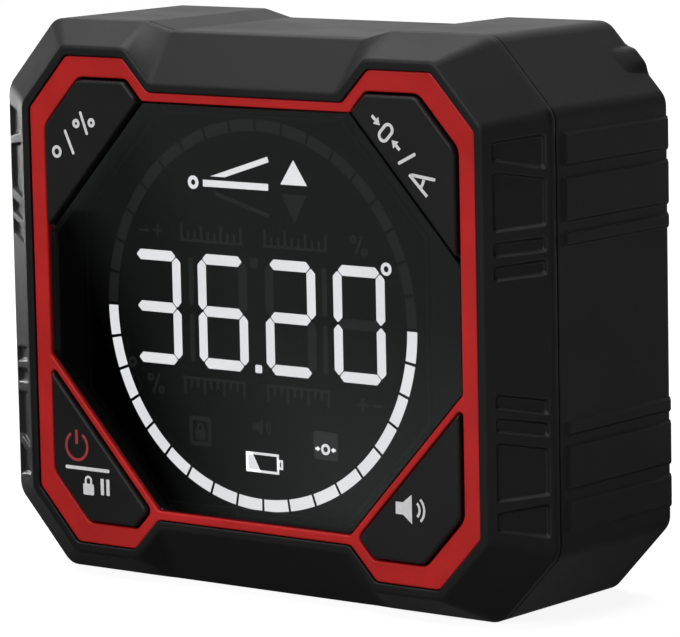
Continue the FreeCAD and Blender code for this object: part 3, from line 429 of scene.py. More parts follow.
@dataclass(frozen=True)
class DisplayLayer:
    """One layer of a display: printed ground, resting segments or segments lit from behind."""

    name: str
    colour: str
    glow: float
    roughness: float = 0.35
    specular: float = 0.5
    cloud_mm: float = 14.0      # how far apart the backlight's bright places lie
    tones: Span = (0.94, 1.04)  # brightness between and at those places

    def build(self) -> Material:
        """Makes the material.

        Returns:
            The material.
        """
        material, tree, shader = blank_material(self.name)
        tone = toned(tree, self.colour, spots(tree, self.cloud_mm, 1.0), *self.tones)
        plug(shader, {"Base Color": tone, "Emission Color": tone, "Emission Strength": self.glow,
                      "Roughness": self.roughness, "Specular IOR Level": self.specular})
        return material


@dataclass(frozen=True)
class PadPrint:
    """Two-part ink laid on by a soft pad: satin and a little uneven, with a painted glow where glow
    is set.
    """

    name: str
    colour: str
    # painted glow: emission that makes the ink brighter than the lamps light it
    glow: float = 0.0
    cloud_mm: float = 0.5       # width of a thin place in the ink
    pore_mm: float = 0.3        # width of a dull place, drawn coarse enough to show
    thin_share: Span = (0.3, 0.75)      # noise from full ink to thin ink
    tones: Span = (1.03, 0.9)   # brightness of full ink and of thin ink
    roughness: Span = (0.38, 0.52)

    def build(self) -> Material:
        """Makes the material.

        Returns:
            The material.
        """
        material, tree, shader = blank_material(self.name)
        uneven = add_node(tree, "ShaderNodeMapRange", (
            spots(tree, self.cloud_mm, 3.0), *self.thin_share, *self.tones)).outputs[0]
        plug(shader, {
            "Base Color": add_node(tree, "ShaderNodeHueSaturation",
                                   {"Value": uneven, "Color": linear(self.colour)}).outputs[0],
            "Roughness": add_node(tree, "ShaderNodeMapRange", (
                spots(tree, self.pore_mm), *MIDTONES, *self.roughness)).outputs[0],
            # Painted glow: the ink gives off light of its own colour
            "Emission Color": linear(self.colour),
            "Emission Strength": self.glow})
        return material


@dataclass(frozen=True)
class PlatedMetal:
    """Steel or brass under a plated skin, with the fine lines of stamping or turning."""

    name: str
    colour: str
    roughness: float
    line_mm: float = 0.64       # width of one line, drawn eight times too coarse so that it shows
    along: Triple = (1.0, 1.0, 12.0)
    line_depth_mm: float = 0.004
    cloud_mm: float = 1.5       # width of a dull place in the plating
    tones: Span = (0.9, 1.06)   # brightness of dull and of bright places
    matter: Span = (-0.06, 0.1)         # what the lines add to the roughness
    bump: float = 0.4

    def build(self) -> Material:
        """Makes the material.

        Returns:
            The material.
        """
        material, tree, shader = blank_material(self.name)
        lines = spots(tree, self.line_mm, 2.0, self.along)
        plug(shader, {
            "Base Color": toned(tree, self.colour, spots(tree, self.cloud_mm, 3.0), *self.tones),
            "Roughness": add_node(tree, "ShaderNodeMapRange", (
                lines, *MIDTONES, *(self.roughness + more for more in self.matter))).outputs[0],
            "Normal": add_node(tree, "ShaderNodeBump", {
                "Height": lines, "Strength": self.bump,
                "Distance": self.line_depth_mm * MM}).outputs[0],
            "Metallic": 1.0})
        return material


@dataclass(frozen=True)
class CellularRubber:
    """Closed-cell foam or solid sealing rubber: matt, with open pores and a dusty bloom."""

    name: str
    colour: str
    pore_mm: float
    pore_depth_mm: float
    bloom_mm: float = 3.0       # width of one dusty place
    tones: Span = (0.85, 1.25)  # brightness of clean and of dusty places
    bump: float = 0.7
    roughness: float = 0.85

    def build(self) -> Material:
        """Makes the material.

        Returns:
            The material.
        """
        material, tree, shader = blank_material(self.name)
        place = add_node(tree, "ShaderNodeTexCoord").outputs["Object"]
        pores = add_node(tree, "ShaderNodeTexVoronoi",
                         {"Vector": place, "Scale": 1 / (self.pore_mm * MM)}).outputs["Distance"]
        plug(shader, {
            "Base Color": toned(tree, self.colour, spots(tree, self.bloom_mm), *self.tones),
            "Normal": add_node(tree, "ShaderNodeBump", {
                "Height": pores, "Strength": self.bump,
                "Distance": self.pore_depth_mm * MM}).outputs[0],
            "Roughness": self.roughness})
        return material


@dataclass(frozen=True)
class SolderMask:
    """Glass-fibre board under green lacquer, with copper tracks that show through it."""

    name: str
    colour: str
    track: str
    pitch_mm: float = 2.4       # distance from track to track
    step_mm: float = 0.03       # height of a track under the lacquer
    area_mm: float = 5.0        # width of an area with tracks
    track_share: float = 0.06   # how wide a track is, as a share of the pitch
    area_share: Span = (0.45, 0.55)     # noise from a bare place to one with tracks
    bump: float = 0.5
    roughness: float = 0.3

    def build(self) -> Material:
        """Makes the material.

        Returns:
            The material.
        """
        material, tree, shader = blank_material(self.name)
        place = add_node(tree, "ShaderNodeTexCoord").outputs["Object"]
        black, white = linear("000000"), linear("FFFFFF")
        tracks = add_node(tree, "ShaderNodeTexBrick", {
            "Vector": place, "Scale": 1 / (self.pitch_mm * MM), "Mortar Size": self.track_share,
            "Color1": black, "Color2": black, "Mortar": white}).outputs["Fac"]
        areas = add_node(tree, "ShaderNodeMapRange",
                         (spots(tree, self.area_mm, 3.0), *self.area_share, *MASK)).outputs[0]
        shown = add_node(tree, "ShaderNodeMath", (tracks, areas), operation="MULTIPLY").outputs[0]
        plug(shader, {
            "Base Color": add_node(tree, "ShaderNodeMix", {
                0: shown, 6: linear(self.colour), 7: linear(self.track)},
                data_type="RGBA").outputs[2],
            "Normal": add_node(tree, "ShaderNodeBump", {
                "Height": shown, "Strength": self.bump,
                "Distance": self.step_mm * MM}).outputs[0],
            "Roughness": self.roughness})
        return material


@dataclass(frozen=True)
class SpeckledCeramic:
    """Fired or pressed powder, such as a chip resistor's body or a switch's base."""

    name: str
    colour: str
    fleck: str
    roughness: float
    fleck_mm: float = 0.15      # width of one fleck
    fleck_depth_mm: float = 0.01
    fleck_share: Span = (0.5, 0.68)     # noise from no fleck to a whole one
    fleck_cover: float = 0.8    # how much of the ground a whole fleck hides
    bump: float = 0.3

    def build(self) -> Material:
        """Makes the material.

        Returns:
            The material.
        """
        material, tree, shader = blank_material(self.name)
        flecks = add_node(tree, "ShaderNodeMapRange",
                          (spots(tree, self.fleck_mm, 3.0), *self.fleck_share,
                           0.0, self.fleck_cover)).outputs[0]
        plug(shader, {
            "Base Color": add_node(tree, "ShaderNodeMix", {
                0: flecks, 6: linear(self.colour), 7: linear(self.fleck)},
                data_type="RGBA").outputs[2],
            "Normal": add_node(tree, "ShaderNodeBump", {
                "Height": flecks, "Strength": self.bump,
                "Distance": self.fleck_depth_mm * MM}).outputs[0],
            "Roughness": self.roughness})
        return material


# Soft-touch ABS, moulded in a spark-eroded tool: near black, dull, edges a little polished. Its
# lighter edges are partly rubbed wear and partly a painted highlight along the edges.
CASING = MouldedPlastic("soft_touch_abs_moulded", "131314", "3A3A3C", 0.5, 0.2, 0.016,
                        specular=0.36, soft_mm=0.3, wear_and_highlight=0.5)
# Gloss ABS, moulded red: a clean saturated red with a thin shine.
TRIM = MouldedPlastic("red_abs_moulded", "C81F1E", "D8504A", 0.38, 0.3, 0.003,
                      specular=0.3, edge_mm=0.2, soft_mm=0.2, wear_and_highlight=0.3)
# Satin polycarbonate keycap, moulded: a touch smoother than the casing.
KEY = MouldedPlastic("keycap_polycarbonate_moulded", "1C1C1D", "333335", 0.42, 0.2, 0.005,
                     specular=0.34, soft_mm=0.2)
# Smoked acrylic, polished: a clear dark pane whose hard coat mirrors with a hint of green.
WINDOW = ClearAcrylic("smoked_acrylic_polished", "B0B1B3", 0.015, "F5FFFA")
# Nitrile and polyurethane foam, die cut: a dead black with pores.
SEAL = CellularRubber("foam_rubber_die_cut", "080809", 0.12, 0.02)
# Laminated glass over a black printed ground: nearly no light comes back from it.
DISPLAY_GROUND = DisplayLayer("display_glass_laminated", "060607", 0.0, 0.6, 0.0)
# Electrode areas of the display, switched clear: the backlight shines through, plain white.
SEGMENT_LIT = DisplayLayer("display_segment_lit", "EFEFEF", 2.0)
# The same areas at rest: a ghost a little paler than the ground.
SEGMENT_REST = DisplayLayer("display_segment_resting", "2B2B2C", 0.75, specular=0.0)
# An area behind a dark filter: a dim grey box.
SEGMENT_DIM = DisplayLayer("display_segment_dim", "3A3A3B", 0.9, specular=0.0)
# Two-part ink, pad printed: crisp satin white, red, and a quiet grey on the cover. The white and
# red key inks carry a faint painted glow, emission that makes them brighter than the lamps light
# them.
KEY_WHITE = PadPrint("key_ink_white_printed_painted_glow", "DEDEE0", 0.12)
KEY_RED = PadPrint("key_ink_red_printed_painted_glow", "A3333D", 0.12)
COVER_INK = PadPrint("cover_ink_grey_printed", "6E6F72")
# Coloured film under the clear sleeve of a dry cell, printed: a warm band near the pole.
CELL_BAND = PadPrint("cell_band_printed_film", "B8763A")
# Nickel-plated can, drawn: bright, a little rubbed.
CELL_METAL = PlatedMetal("cell_can_nickel_plated", "C4C5C8", 0.25, 0.8, (1.0, 9.0, 1.0))
SLOT_FINISHES = {
    "casing": CASING,
    "trim": TRIM,
    "window": WINDOW,
    "key": KEY,
    "seal": SEAL,
    "display": DISPLAY_GROUND,
    # Diffusing acrylic, moulded: milky, evenly pale.
    "light_guide": MouldedPlastic("light_guide_acrylic_moulded", "E6E8E4", "F2F2F0",
                                  0.3, 0.4, 0.004),
    # White ABS, moulded: plain, satin, seen only when the device is open.
    "holder": MouldedPlastic("holder_abs_moulded", "E2E2DC", "F0F0EC", 0.5, 0.2, 0.008),
    # Glass-fibre board, lacquered: deep green with paler tracks.
    "board": SolderMask("circuit_board_lacquered", "0E4A26", "1E7A44"),
    # Epoxy moulding compound: charcoal with glass flecks.
    "chip": SpeckledCeramic("chip_epoxy_moulded", "1A1A1C", "303034", 0.55),
    # Fired ceramic: tan with paler grains.
    "ceramic_part": SpeckledCeramic("chip_ceramic_fired", "A5835C", "C6AE8C", 0.4),
    # Glass-filled nylon, moulded: black with faint grey fibres.
    "switch": SpeckledCeramic("switch_nylon_moulded", "1E1E20", "3A3A3C", 0.45),
    # Acetal, moulded: waxy ivory.
    "plunger": MouldedPlastic("plunger_acetal_moulded", "CFC9B8", "E2DDCE", 0.4, 0.2, 0.006),
    # Zinc-plated steel: cool grey, lines of the header's die.
    "steel": PlatedMetal("steel_zinc_plated", "A9ABB0", 0.34),
    # Nickel-plated spring brass: warm silver.
    "contact": PlatedMetal("brass_nickel_plated", "C9C4B6", 0.28),
    # Nickel-plated sintered magnet: bright silver with grinding lines.
    "magnet": PlatedMetal("magnet_nickel_plated", "BFBFC2", 0.24, 0.96, (12.0, 1.0, 1.0)),
    # Shrink sleeve of a dry cell, printed: dark, glossy film.
    "cell": MouldedPlastic("cell_sleeve_printed_film", "23262E", "3A3E48", 0.26, 0.6, 0.004,
                           coat=0.3),
}


def dress(piece: Piece, material: Material) -> None:
    """Gives every face of a piece one material."""
    piece.data.materials.clear()
    piece.data.materials.append(material)


def report(piece: Piece, body: str) -> Piece:
    """Ties a new piece to a body, and logs it.

    Args:
        piece: The new piece.
        body: The body that it moves with.

    Returns:
        The same piece.
    """
    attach(piece, body)
    log.info("%s rides on %s, %d faces", piece.name, body, len(piece.data.polygons))
    return piece


# ---------------------------------------------------------------- flat marks
class Facing(Enum):
    """Which way a sheet of marks looks."""

    FRONT = -1
    BACK = 1


class Stroke(NamedTuple):
    """Straight bar of a sign."""

    start: Place
    end: Place
    width: float
    cut: float = 0.0            # how far each corner is cut or rounded
    steps: int = 1              # faces in each corner's cut


class Arc(NamedTuple):
    """Ring of a sign, or a part of one."""

    centre: Place
    inner: float
    outer: float
    start: float = 0.0          # angle of its first end, in degrees
    sweep: float = 360.0        # angle that it covers, in degrees
    steps: int = 32


class Arrow(NamedTuple):
    """Triangle that points somewhere."""

    centre: Place
    width: float
    height: float
    turn: float = 0.0           # degrees by which its tip is turned from up


class Box(NamedTuple):
    """Outline of a box."""

    centre: Place
    width: float
    height: float
    stroke: float
    corner: float = 0.0         # radius of its outer corners


CORNER_STEPS = 5            # faces round an outlined box's corner
SLASH_LEAN = 20.0           # degrees that a slash leans right
SLASH_CUT = 0.3             # cut of its corners over its width
PERCENT_LEAN = 24.0         # degrees that a percent sign's slash leans
PERCENT_RADIUS = 0.21       # radius of its rings over its height
PERCENT_REACH = 0.34        # from its middle sideways to a ring's middle, over its height
LOCK_BODY = 0.58            # height of a padlock's body over its whole height
LOCK_WIDTH = 0.72           # width of the body over the whole height
LOCK_ROUND = 0.12           # radius of the body's corners over its height
SHACKLE = 0.34              # radius of the shackle over the body's width
NECK = 0.05                 # how far left of its middle a speaker's cone starts, over its width
WAIST = 0.42                # height of the speaker's back over its mouth
NEAR_NECK = 0.6             # how far from the neck the cone's narrow face reaches, over the mouth
FIRST_WAVE = 0.54           # radius of the first wave over the speaker's width
WAVE_STEP = 0.29            # what each wave adds to it
WAVE_SPREAD = 92.0          # degrees that a wave covers


@dataclass
class MarkSheet:
    """Flat marks that lie on one face, gathered into one piece.

    A place on the sheet is (u, v): u runs right and v up as one looks at the marks.
    """

    depth: float                        # of the face that carries the marks
    thick: float
    origin: Place = (0.0, 0.0)
    turn: float = 0.0                   # degrees, from u towards v
    facing: Facing = Facing.FRONT
    parts: list[Piece] = field(default_factory=list)

    def spot(self, u: float, v: float) -> Vector:
        """Turns a place on the sheet to a point in the middle of the marks' thickness.

        Args:
            u: Distance right of the sheet's origin.
            v: Distance above it.

        Returns:
            The point in the part's frame.
        """
        angle = math.radians(self.turn)
        x = u * math.cos(angle) - v * math.sin(angle)
        rise = u * math.sin(angle) + v * math.cos(angle)
        side = -self.facing.value
        return seat(self.origin[0] + side * x, self.depth + self.facing.value * self.thick / 2,
                    self.origin[1] + rise)

    def keep(self, part: Piece) -> Piece:
        """Adds a part to the sheet."""
        self.parts.append(part)
        return part

    def stand(self, piece: Piece, centre: Place, turn: float) -> None:
        """Stands a flat piece up on the sheet.

        Args:
            piece: The piece, which lies at the origin.
            centre: Where its middle goes.
            turn: Degrees by which it turns, from u towards v.
        """
        angle = math.radians(turn) * -self.facing.value
        piece.matrix_world = (
            Matrix.Translation(self.spot(*centre)) @ Matrix.Rotation(-angle, 4, "Y")
            @ Matrix.Rotation(math.pi / 2, 4, "X"))

    def bar(self, start: Place, end: Place, width: float, cut: float = 0.0,
            steps: int = 1) -> Piece:
        """Adds a straight bar.

        Args:
            start: One end.
            end: The other end.
            width: Its width.
            cut: How far each corner is cut or rounded.
            steps: Faces in each corner's cut.

        Returns:
            The bar.
        """
        first, last = self.spot(*start), self.spot(*end)
        run = last - first
        start_clean()
        bpy.ops.mesh.primitive_cube_add(
            size=1, location=(first + last) / 2, rotation=(0, -math.atan2(run.z, run.x), 0),
            scale=(run.length, self.thick * MM, width * MM))
        piece = bpy.context.object
        fix_scale(piece)
        if cut:
            pick(piece, Pick.EDGES, lambda ends: abs(ends[0].y - ends[1].y) > MERGE)
            bpy.ops.mesh.bevel(offset=cut * MM, segments=steps, affect="EDGES")
            bpy.ops.object.mode_set(mode="OBJECT")
        return self.keep(piece)

    def arc(self, centre: Place, inner: float, outer: float, start: float = 0.0,
            sweep: float = 360.0, steps: int = 32) -> Piece:
        """Adds a flat ring or a part of one.

        Args:
            centre: Its centre.
            inner: Inner radius.
            outer: Outer radius.
            start: Angle of its first end, in degrees.
            sweep: Angle that it covers, in degrees.
            steps: Faces along it.

        Returns:
            The ring.
        """
        side = -self.facing.value
        angle = math.radians(side * (self.turn + start))
        if side < 0:
            angle += math.pi
        ray = Vector((math.cos(angle), 0, math.sin(angle)))
        middle = self.spot(*centre)
        start_clean()
        bpy.ops.mesh.primitive_plane_add(
            size=1, location=middle + ray * (inner + outer) / 2 * MM, rotation=(0, -angle, 0))
        piece = bpy.context.object
        piece.scale = ((outer - inner) * MM, self.thick * MM, 1)
        bpy.ops.object.transform_apply(location=True, rotation=True, scale=True)
        pick_all(piece)
        if sweep >= 360:
            bpy.ops.mesh.delete(type="ONLY_FACE")
            bpy.ops.mesh.select_all(action="SELECT")
        bpy.ops.mesh.spin(steps=steps, angle=math.radians(sweep), center=middle,
                          axis=(0, side, 0), use_auto_merge=sweep >= 360)
        bpy.ops.object.mode_set(mode="OBJECT")
        return self.keep(piece)

    def triangle(self, centre: Place, width: float, height: float, turn: float = 0.0) -> Piece:
        """Adds a triangle with a flat base.

        Args:
            centre: The middle of its box.
            width: Length of its base.
            height: Its height.
            turn: Degrees by which its tip is turned from up.

        Returns:
            The triangle.
        """
        start_clean()
        bpy.ops.mesh.primitive_cylinder_add(vertices=3, radius=1, depth=1)
        piece = bpy.context.object
        # Radius 1 makes it 1.5 high and root 3 wide, with its box's middle 0.25 above its own.
        bpy.ops.transform.translate(value=(0, -0.25, 0))
        bpy.ops.object.transform_apply(location=True, rotation=True, scale=True)
        self.stand(piece, centre, self.turn + turn)
        piece.scale = (width * MM / math.sqrt(3), height * MM / 1.5, self.thick * MM)
        return self.keep(piece)

    def outline(self, centre: Place, width: float, height: float, stroke: float,
                corner: float = 0.0) -> Piece:
        """Adds the outline of a box.

        Args:
            centre: Its middle.
            width: Its outer width.
            height: Its outer height.
            stroke: Width of the line.
            corner: Radius of its outer corners.

        Returns:
            The outline.
        """
        start_clean()
        bpy.ops.mesh.primitive_plane_add(size=1)
        piece = bpy.context.object
        self.stand(piece, centre, self.turn)
        piece.scale = (width * MM, height * MM, 1)
        fix_scale(piece)
        pick_all(piece)
        if corner:
            bpy.ops.mesh.bevel(offset=corner * MM, segments=CORNER_STEPS, affect="VERTICES")
            bpy.ops.mesh.select_all(action="SELECT")
        bpy.ops.mesh.inset(thickness=stroke * MM)
        bpy.ops.mesh.delete(type="FACE")
        bpy.ops.mesh.select_all(action="SELECT")
        bpy.ops.mesh.extrude_region_move(
            TRANSFORM_OT_translate={"value": (0, self.thick * MM, 0)})
        bpy.ops.mesh.select_all(action="SELECT")
        bpy.ops.transform.translate(value=(0, -self.thick * MM / 2, 0))
        bpy.ops.object.mode_set(mode="OBJECT")
        return self.keep(piece)

    def slash(self, centre: Place, height: float, width: float,
              lean: float = SLASH_LEAN) -> None:
        """Adds an upright bar that leans right.

        Args:
            centre: Its middle.
            height: Its height.
            width: Its width.
            lean: Degrees by which it leans.
        """
        half = height / 2
        shift = half * math.tan(math.radians(lean))
        self.bar((centre[0] - shift, centre[1] - half), (centre[0] + shift, centre[1] + half),
                 width, width * SLASH_CUT)

    def percent(self, centre: Place, height: float, stroke: float) -> None:
        """Adds a percent sign.

        Args:
            centre: Its middle.
            height: Its height.
            stroke: Width of its lines.
        """
        radius = height * PERCENT_RADIUS
        self.slash(centre, height, stroke, PERCENT_LEAN)
        for way in (-1, 1):
            ring = (centre[0] + way * height * PERCENT_REACH,
                    centre[1] - way * (height / 2 - radius))
            self.arc(ring, radius - stroke, radius, steps=20)

    def plus(self, centre: Place, size: float, stroke: float) -> None:
        """Adds a plus sign.

        Args:
            centre: Its middle.
            size: Its width and height.
            stroke: Width of its lines.
        """
        u, v = centre
        self.minus(centre, size, stroke)
        for way in (-1, 1):
            self.bar((u, v + way * stroke / 2), (u, v + way * size / 2), stroke)

    def minus(self, centre: Place, size: float, stroke: float) -> None:
        """Adds a minus sign."""
        self.bar((centre[0] - size / 2, centre[1]), (centre[0] + size / 2, centre[1]), stroke)

    def padlock(self, centre: Place, height: float, stroke: float) -> None:
        """Adds a closed padlock.

        Args:
            centre: Its middle.
            height: Its height.
            stroke: Width of its shackle.
        """
        u, v = centre
        body = height * LOCK_BODY
        wide = height * LOCK_WIDTH
        top = v - height / 2 + body
        radius = wide * SHACKLE
        self.bar((u - wide / 2, top - body / 2), (u + wide / 2, top - body / 2), body,
                 body * LOCK_ROUND, 3)
        straight = height - body - radius
        for way in (-1, 1):
            side = u + way * (radius - stroke / 2)
            self.bar((side, top), (side, top + straight), stroke)
        self.arc((u, top + straight), radius - stroke, radius, 0, 180, 16)

    def speaker(self, centre: Place, width: float, height: float, waves: int,
                stroke: float) -> None:
        """Adds a loudspeaker with its sound waves on the right.

        Args:
            centre: The middle of the speaker's cone.
            width: Its width without the waves.
            height: Height of the cone's mouth.
            waves: How many waves it sends.
            stroke: Width of each wave.
        """
        u, v = centre
        neck = u - width * NECK
        self.bar((u - width / 2, v), (neck, v), height * WAIST)
        cone = self.bar((neck, v), (u + width / 2, v), height)
        near = self.spot(neck, v)
        pick(cone, Pick.FACES, lambda ends: all(
            (cone.matrix_world @ end - near).length < height * NEAR_NECK * MM for end in ends))
        bpy.ops.transform.resize(value=(1, 1, WAIST), center_override=near)
        bpy.ops.object.mode_set(mode="OBJECT")
        for wave in range(waves):
            radius = width * (FIRST_WAVE + WAVE_STEP * wave)
            self.arc((u + width / 2, v), radius - stroke, radius, -WAVE_SPREAD / 2,
                     WAVE_SPREAD, 14)

    def finished(self, name: str) -> Piece:
        """Joins the marks to one piece."""
        return joined(self.parts, name)


# ---------------------------------------------------------------- display
class Bar(Enum):
    """The seven bars of a figure, as (column, row) of their middles in half figures."""

    TOP = (0, 2)
    MIDDLE = (0, 0)
    BOTTOM = (0, -2)
    UPPER_LEFT = (-1, 1)
    UPPER_RIGHT = (1, 1)
    LOWER_LEFT = (-1, -1)
    LOWER_RIGHT = (1, -1)


FIGURES: dict[str, set[Bar]] = {
    "0": set(Bar) - {Bar.MIDDLE},
    "2": set(Bar) - {Bar.UPPER_LEFT, Bar.LOWER_RIGHT},
    "3": set(Bar) - {Bar.UPPER_LEFT, Bar.LOWER_LEFT},
    "6": set(Bar) - {Bar.UPPER_RIGHT},
}


@dataclass
class Display:
    """Segments and signs of the display glass, lit and resting."""

    depth: float = 1.9
    thick: float = 0.04
    reading: str = "3620"
    figure_middles: tuple[float, ...] = (-14.93, -4.82, 5.34, 15.42)
    figure_rise: float = -0.07
    row_pitch: float = 3.09             # rise from one bar's middle to the next kind's
    column_half: float = 3.1
    bar_length: float = 5.84
    bar_width: float = 1.24
    bar_cut: float = 0.54
    ring_centre: Place = (0.6, -0.12)
    ring_inner: float = 21.68
    ring_outer: float = 23.08
    ring_count: int = 36
    ring_gap: float = 0.38
    scale_starts: Place = (-10.9, 1.7)  # left ends of the ruled scales
    scale_rise: float = 8.2
    scale_ticks: int = 10
    scale_reach: float = 0.3            # of its line past its outer ticks
    scale_stroke: float = 0.32
    tick_group: int = 3                 # every third tick is a long one
    long_tick: float = 1.9
    short_tick: float = 1.1
    tick_start: float = 0.14
    tick_stroke: float = 0.34
    minus_places: tuple[Place, ...] = ((-16.7, 9.0), (17.8, -9.3))
    plus_places: tuple[Place, ...] = ((-14.6, 9.1), (15.7, -9.3))
    sign_size: float = 1.5
    sign_stroke: float = 0.32
    percent_places: tuple[Place, ...] = ((15.5, 9.1), (-15.4, -9.3))
    percent_height: float = 2.4
    percent_stroke: float = 0.34
    unit_ring: Arc = Arc((-19.0, -7.0), 0.3, 0.66, steps=20)
    divider_middles: Place = (-9.6, 10.4)       # between the figures
    divider_ends: Span = (0.5, 6.2)
    divider_width: float = 0.7
    divider_cut: float = 0.2
    upper_point: Stroke = Stroke((0.0, 5.5), (0.0, 6.7), 1.2, 0.2)
    hinge: Arc = Arc((-8.9, 15.12), 0.34, 0.8, steps=28)
    level_side: Stroke = Stroke((-7.4, 15.1), (2.4, 15.1), 0.8)
    rising_side: Stroke = Stroke((-7.7, 15.15), (2.45, 18.35), 0.66)
    rising_foot: float = 15.95          # rise at which its foot is cut level
    falling_side: Stroke = Stroke((-5.7, 14.0), (2.4, 11.75), 0.5)
    rising_arrow: Arrow = Arrow((6.2, 17.0), 3.9, 2.9)
    falling_arrow: Arrow = Arrow((6.2, 12.8), 3.7, 3.3, 180)
    point: Stroke = Stroke((-0.12, -6.35), (0.88, -6.35), 0.95, 0.12)
    degree: Arc = Arc((19.42, 6.65), 0.36, 0.76, steps=28)
    lock_tag: Box = Box((-8.75, -14.5), 3.3, 3.5, 0.5, 0.4)
    lock_height: float = 2.1
    lock_stroke: float = 0.32
    speaker_place: Place = (0.0, -13.2)
    speaker_size: Place = (1.5, 2.0)
    wave_count: int = 2
    wave_stroke: float = 0.26
    zero_tag: Stroke = Stroke((8.35, -14.6), (11.9, -14.6), 3.3, 0.35, 3)
    zero: Arc = Arc((10.12, -15.0), 0.34, 0.66, steps=24)
    zero_arrow: Arrow = Arrow((0.98, 0.0), 0.62, 0.44, 90)      # from the zero's middle
    zero_shaft: Stroke = Stroke((1.12, 0.0), (1.5, 0.0), 0.28)
    battery: Box = Box((0.62, -17.45), 4.95, 2.4, 0.3)
    battery_pole: Box = Box((3.32, -17.45), 0.76, 1.15, 0.28)
    charge: Stroke = Stroke((-1.75, -17.45), (0.35, -17.45), 2.2)
    charge_end: Place = (-0.25, -17.45)
    charge_slant: Triple = (2.3, 0.0, 1.35)     # what its slanted end faces

    def sheet(self) -> MarkSheet:
        """Starts an empty layer on the glass."""
        return MarkSheet(self.depth, self.thick)

    def figures(self, lit: MarkSheet, rest: MarkSheet) -> None:
        """Adds the bars of every figure. The first figure's resting bars can't be seen.

        Args:
            lit: The layer of lit bars.
            rest: The layer of resting bars.
        """
        maker = self.sheet()
        half = self.bar_length / 2
        flat = maker.bar((-half, 0), (half, 0), self.bar_width, self.bar_cut)
        upright = maker.bar((0, -half), (0, half), self.bar_width, self.bar_cut)
        for figure, middle in zip(self.reading, self.figure_middles):
            for bar in Bar:
                column, row = bar.value
                move = Matrix.Translation(Vector((
                    middle + column * self.column_half, 0,
                    self.figure_rise + row * self.row_pitch)) * MM)
                if bar in FIGURES[figure]:
                    lit.keep(stamp(upright if column else flat, move))
                elif middle > self.figure_middles[0]:
                    rest.keep(stamp(upright if column else flat, move))
        for model in (flat, upright):
            bpy.data.objects.remove(model)

    def ring(self, lit: MarkSheet, rest: MarkSheet) -> None:
        """Adds the ring of segments, of which the lower half is lit.

        Args:
            lit: The layer of lit segments.
            rest: The layer of resting segments.
        """
        pitch = 360 / self.ring_count
        gap = math.degrees(self.ring_gap / self.ring_outer)
        maker = self.sheet()
        model = maker.arc(self.ring_centre, self.ring_inner, self.ring_outer, gap / 2,
                          pitch - gap, 6)
        centre = maker.spot(*self.ring_centre)
        for number in range(self.ring_count):
            turn = Matrix.Rotation(-math.radians(number * pitch), 4, "Y")
            move = Matrix.Translation(centre) @ turn @ Matrix.Translation(-centre)
            twin = stamp(model, move)
            (lit if number >= self.ring_count // 2 else rest).keep(twin)
        bpy.data.objects.remove(model)

    def slope_sign(self, lit: MarkSheet, rest: MarkSheet) -> None:
        """Adds the sign of a slope with its arrows: rising is lit, falling rests.

        Args:
            lit: The layer of lit signs.
            rest: The layer of resting signs.
        """
        lit.arc(*self.hinge)
        lit.bar(*self.level_side)
        pick_all(lit.bar(*self.rising_side))
        bpy.ops.mesh.bisect(plane_co=lit.spot(0, self.rising_foot), plane_no=(0, 0, 1),
                            use_fill=True, clear_inner=True)
        bpy.ops.object.mode_set(mode="OBJECT")
        rest.bar(*self.falling_side)
        lit.triangle(*self.rising_arrow)
        rest.triangle(*self.falling_arrow)

    def rulers(self, rest: MarkSheet) -> None:
        """Adds the resting rows of unit signs: signs, ruled scales and percent signs.

        Args:
            rest: The layer of resting signs.
        """
        for sign, places, size, stroke in (
                (rest.minus, self.minus_places, self.sign_size, self.sign_stroke),
                (rest.plus, self.plus_places, self.sign_size, self.sign_stroke),
                (rest.percent, self.percent_places, self.percent_height, self.percent_stroke)):
            for place in places:
                sign(place, size, stroke)
        rest.arc(*self.unit_ring)
        for way in (1, -1):
            foot = way * self.scale_rise
            for first in self.scale_starts:
                last = first + self.scale_ticks - 1
                rest.bar((first - self.scale_reach, foot), (last + self.scale_reach, foot),
                         self.scale_stroke)
                for tick in range(self.scale_ticks):
                    length = self.short_tick if tick % self.tick_group else self.long_tick
                    place = first + tick
                    rest.bar((place, foot + way * self.tick_start),
                             (place, foot + way * length), self.tick_stroke)
        for place in self.divider_middles:
            for way in (-1, 1):
                near, far = (way * end for end in self.divider_ends)
                rest.bar((place, near), (place, far), self.divider_width, self.divider_cut)
        rest.bar(*self.upper_point)

    def lower_signs(self, lit: MarkSheet, rest: MarkSheet, dim: MarkSheet) -> None:
        """Adds the lock, sound, zero and battery signs under the figures.

        Args:
            lit: The layer of lit signs.
            rest: The layer of resting signs.
            dim: The layer behind a dark filter.
        """
        rest.outline(*self.lock_tag)
        rest.padlock(self.lock_tag.centre, self.lock_height, self.lock_stroke)
        rest.speaker(self.speaker_place, *self.speaker_size, self.wave_count, self.wave_stroke)
        dim.bar(*self.zero_tag)
        raised = MarkSheet(self.depth - self.thick, self.thick, self.zero.centre)
        raised.arc(*self.zero._replace(centre=(0.0, 0.0)))
        out, _ = self.zero_arrow.centre
        near, far = self.zero_shaft.start[0], self.zero_shaft.end[0]
        for way in (-1, 1):
            raised.triangle((way * out, 0), self.zero_arrow.width, self.zero_arrow.height,
                            way * self.zero_arrow.turn)
            raised.bar((way * near, 0), (way * far, 0), self.zero_shaft.width)
        lit.parts.extend(raised.parts)
        lit.outline(*self.battery)
        lit.outline(*self.battery_pole)
        pick_all(lit.bar(*self.charge))
        slant = Vector(self.charge_slant).normalized()
        bpy.ops.mesh.bisect(plane_co=lit.spot(*self.charge_end), plane_no=slant,
                            use_fill=True, clear_outer=True)
        bpy.ops.object.mode_set(mode="OBJECT")

    def reading_signs(self, lit: MarkSheet) -> None:
        """Adds the reading's decimal point and its degree sign."""
        lit.bar(*self.point)
        lit.arc(*self.degree)

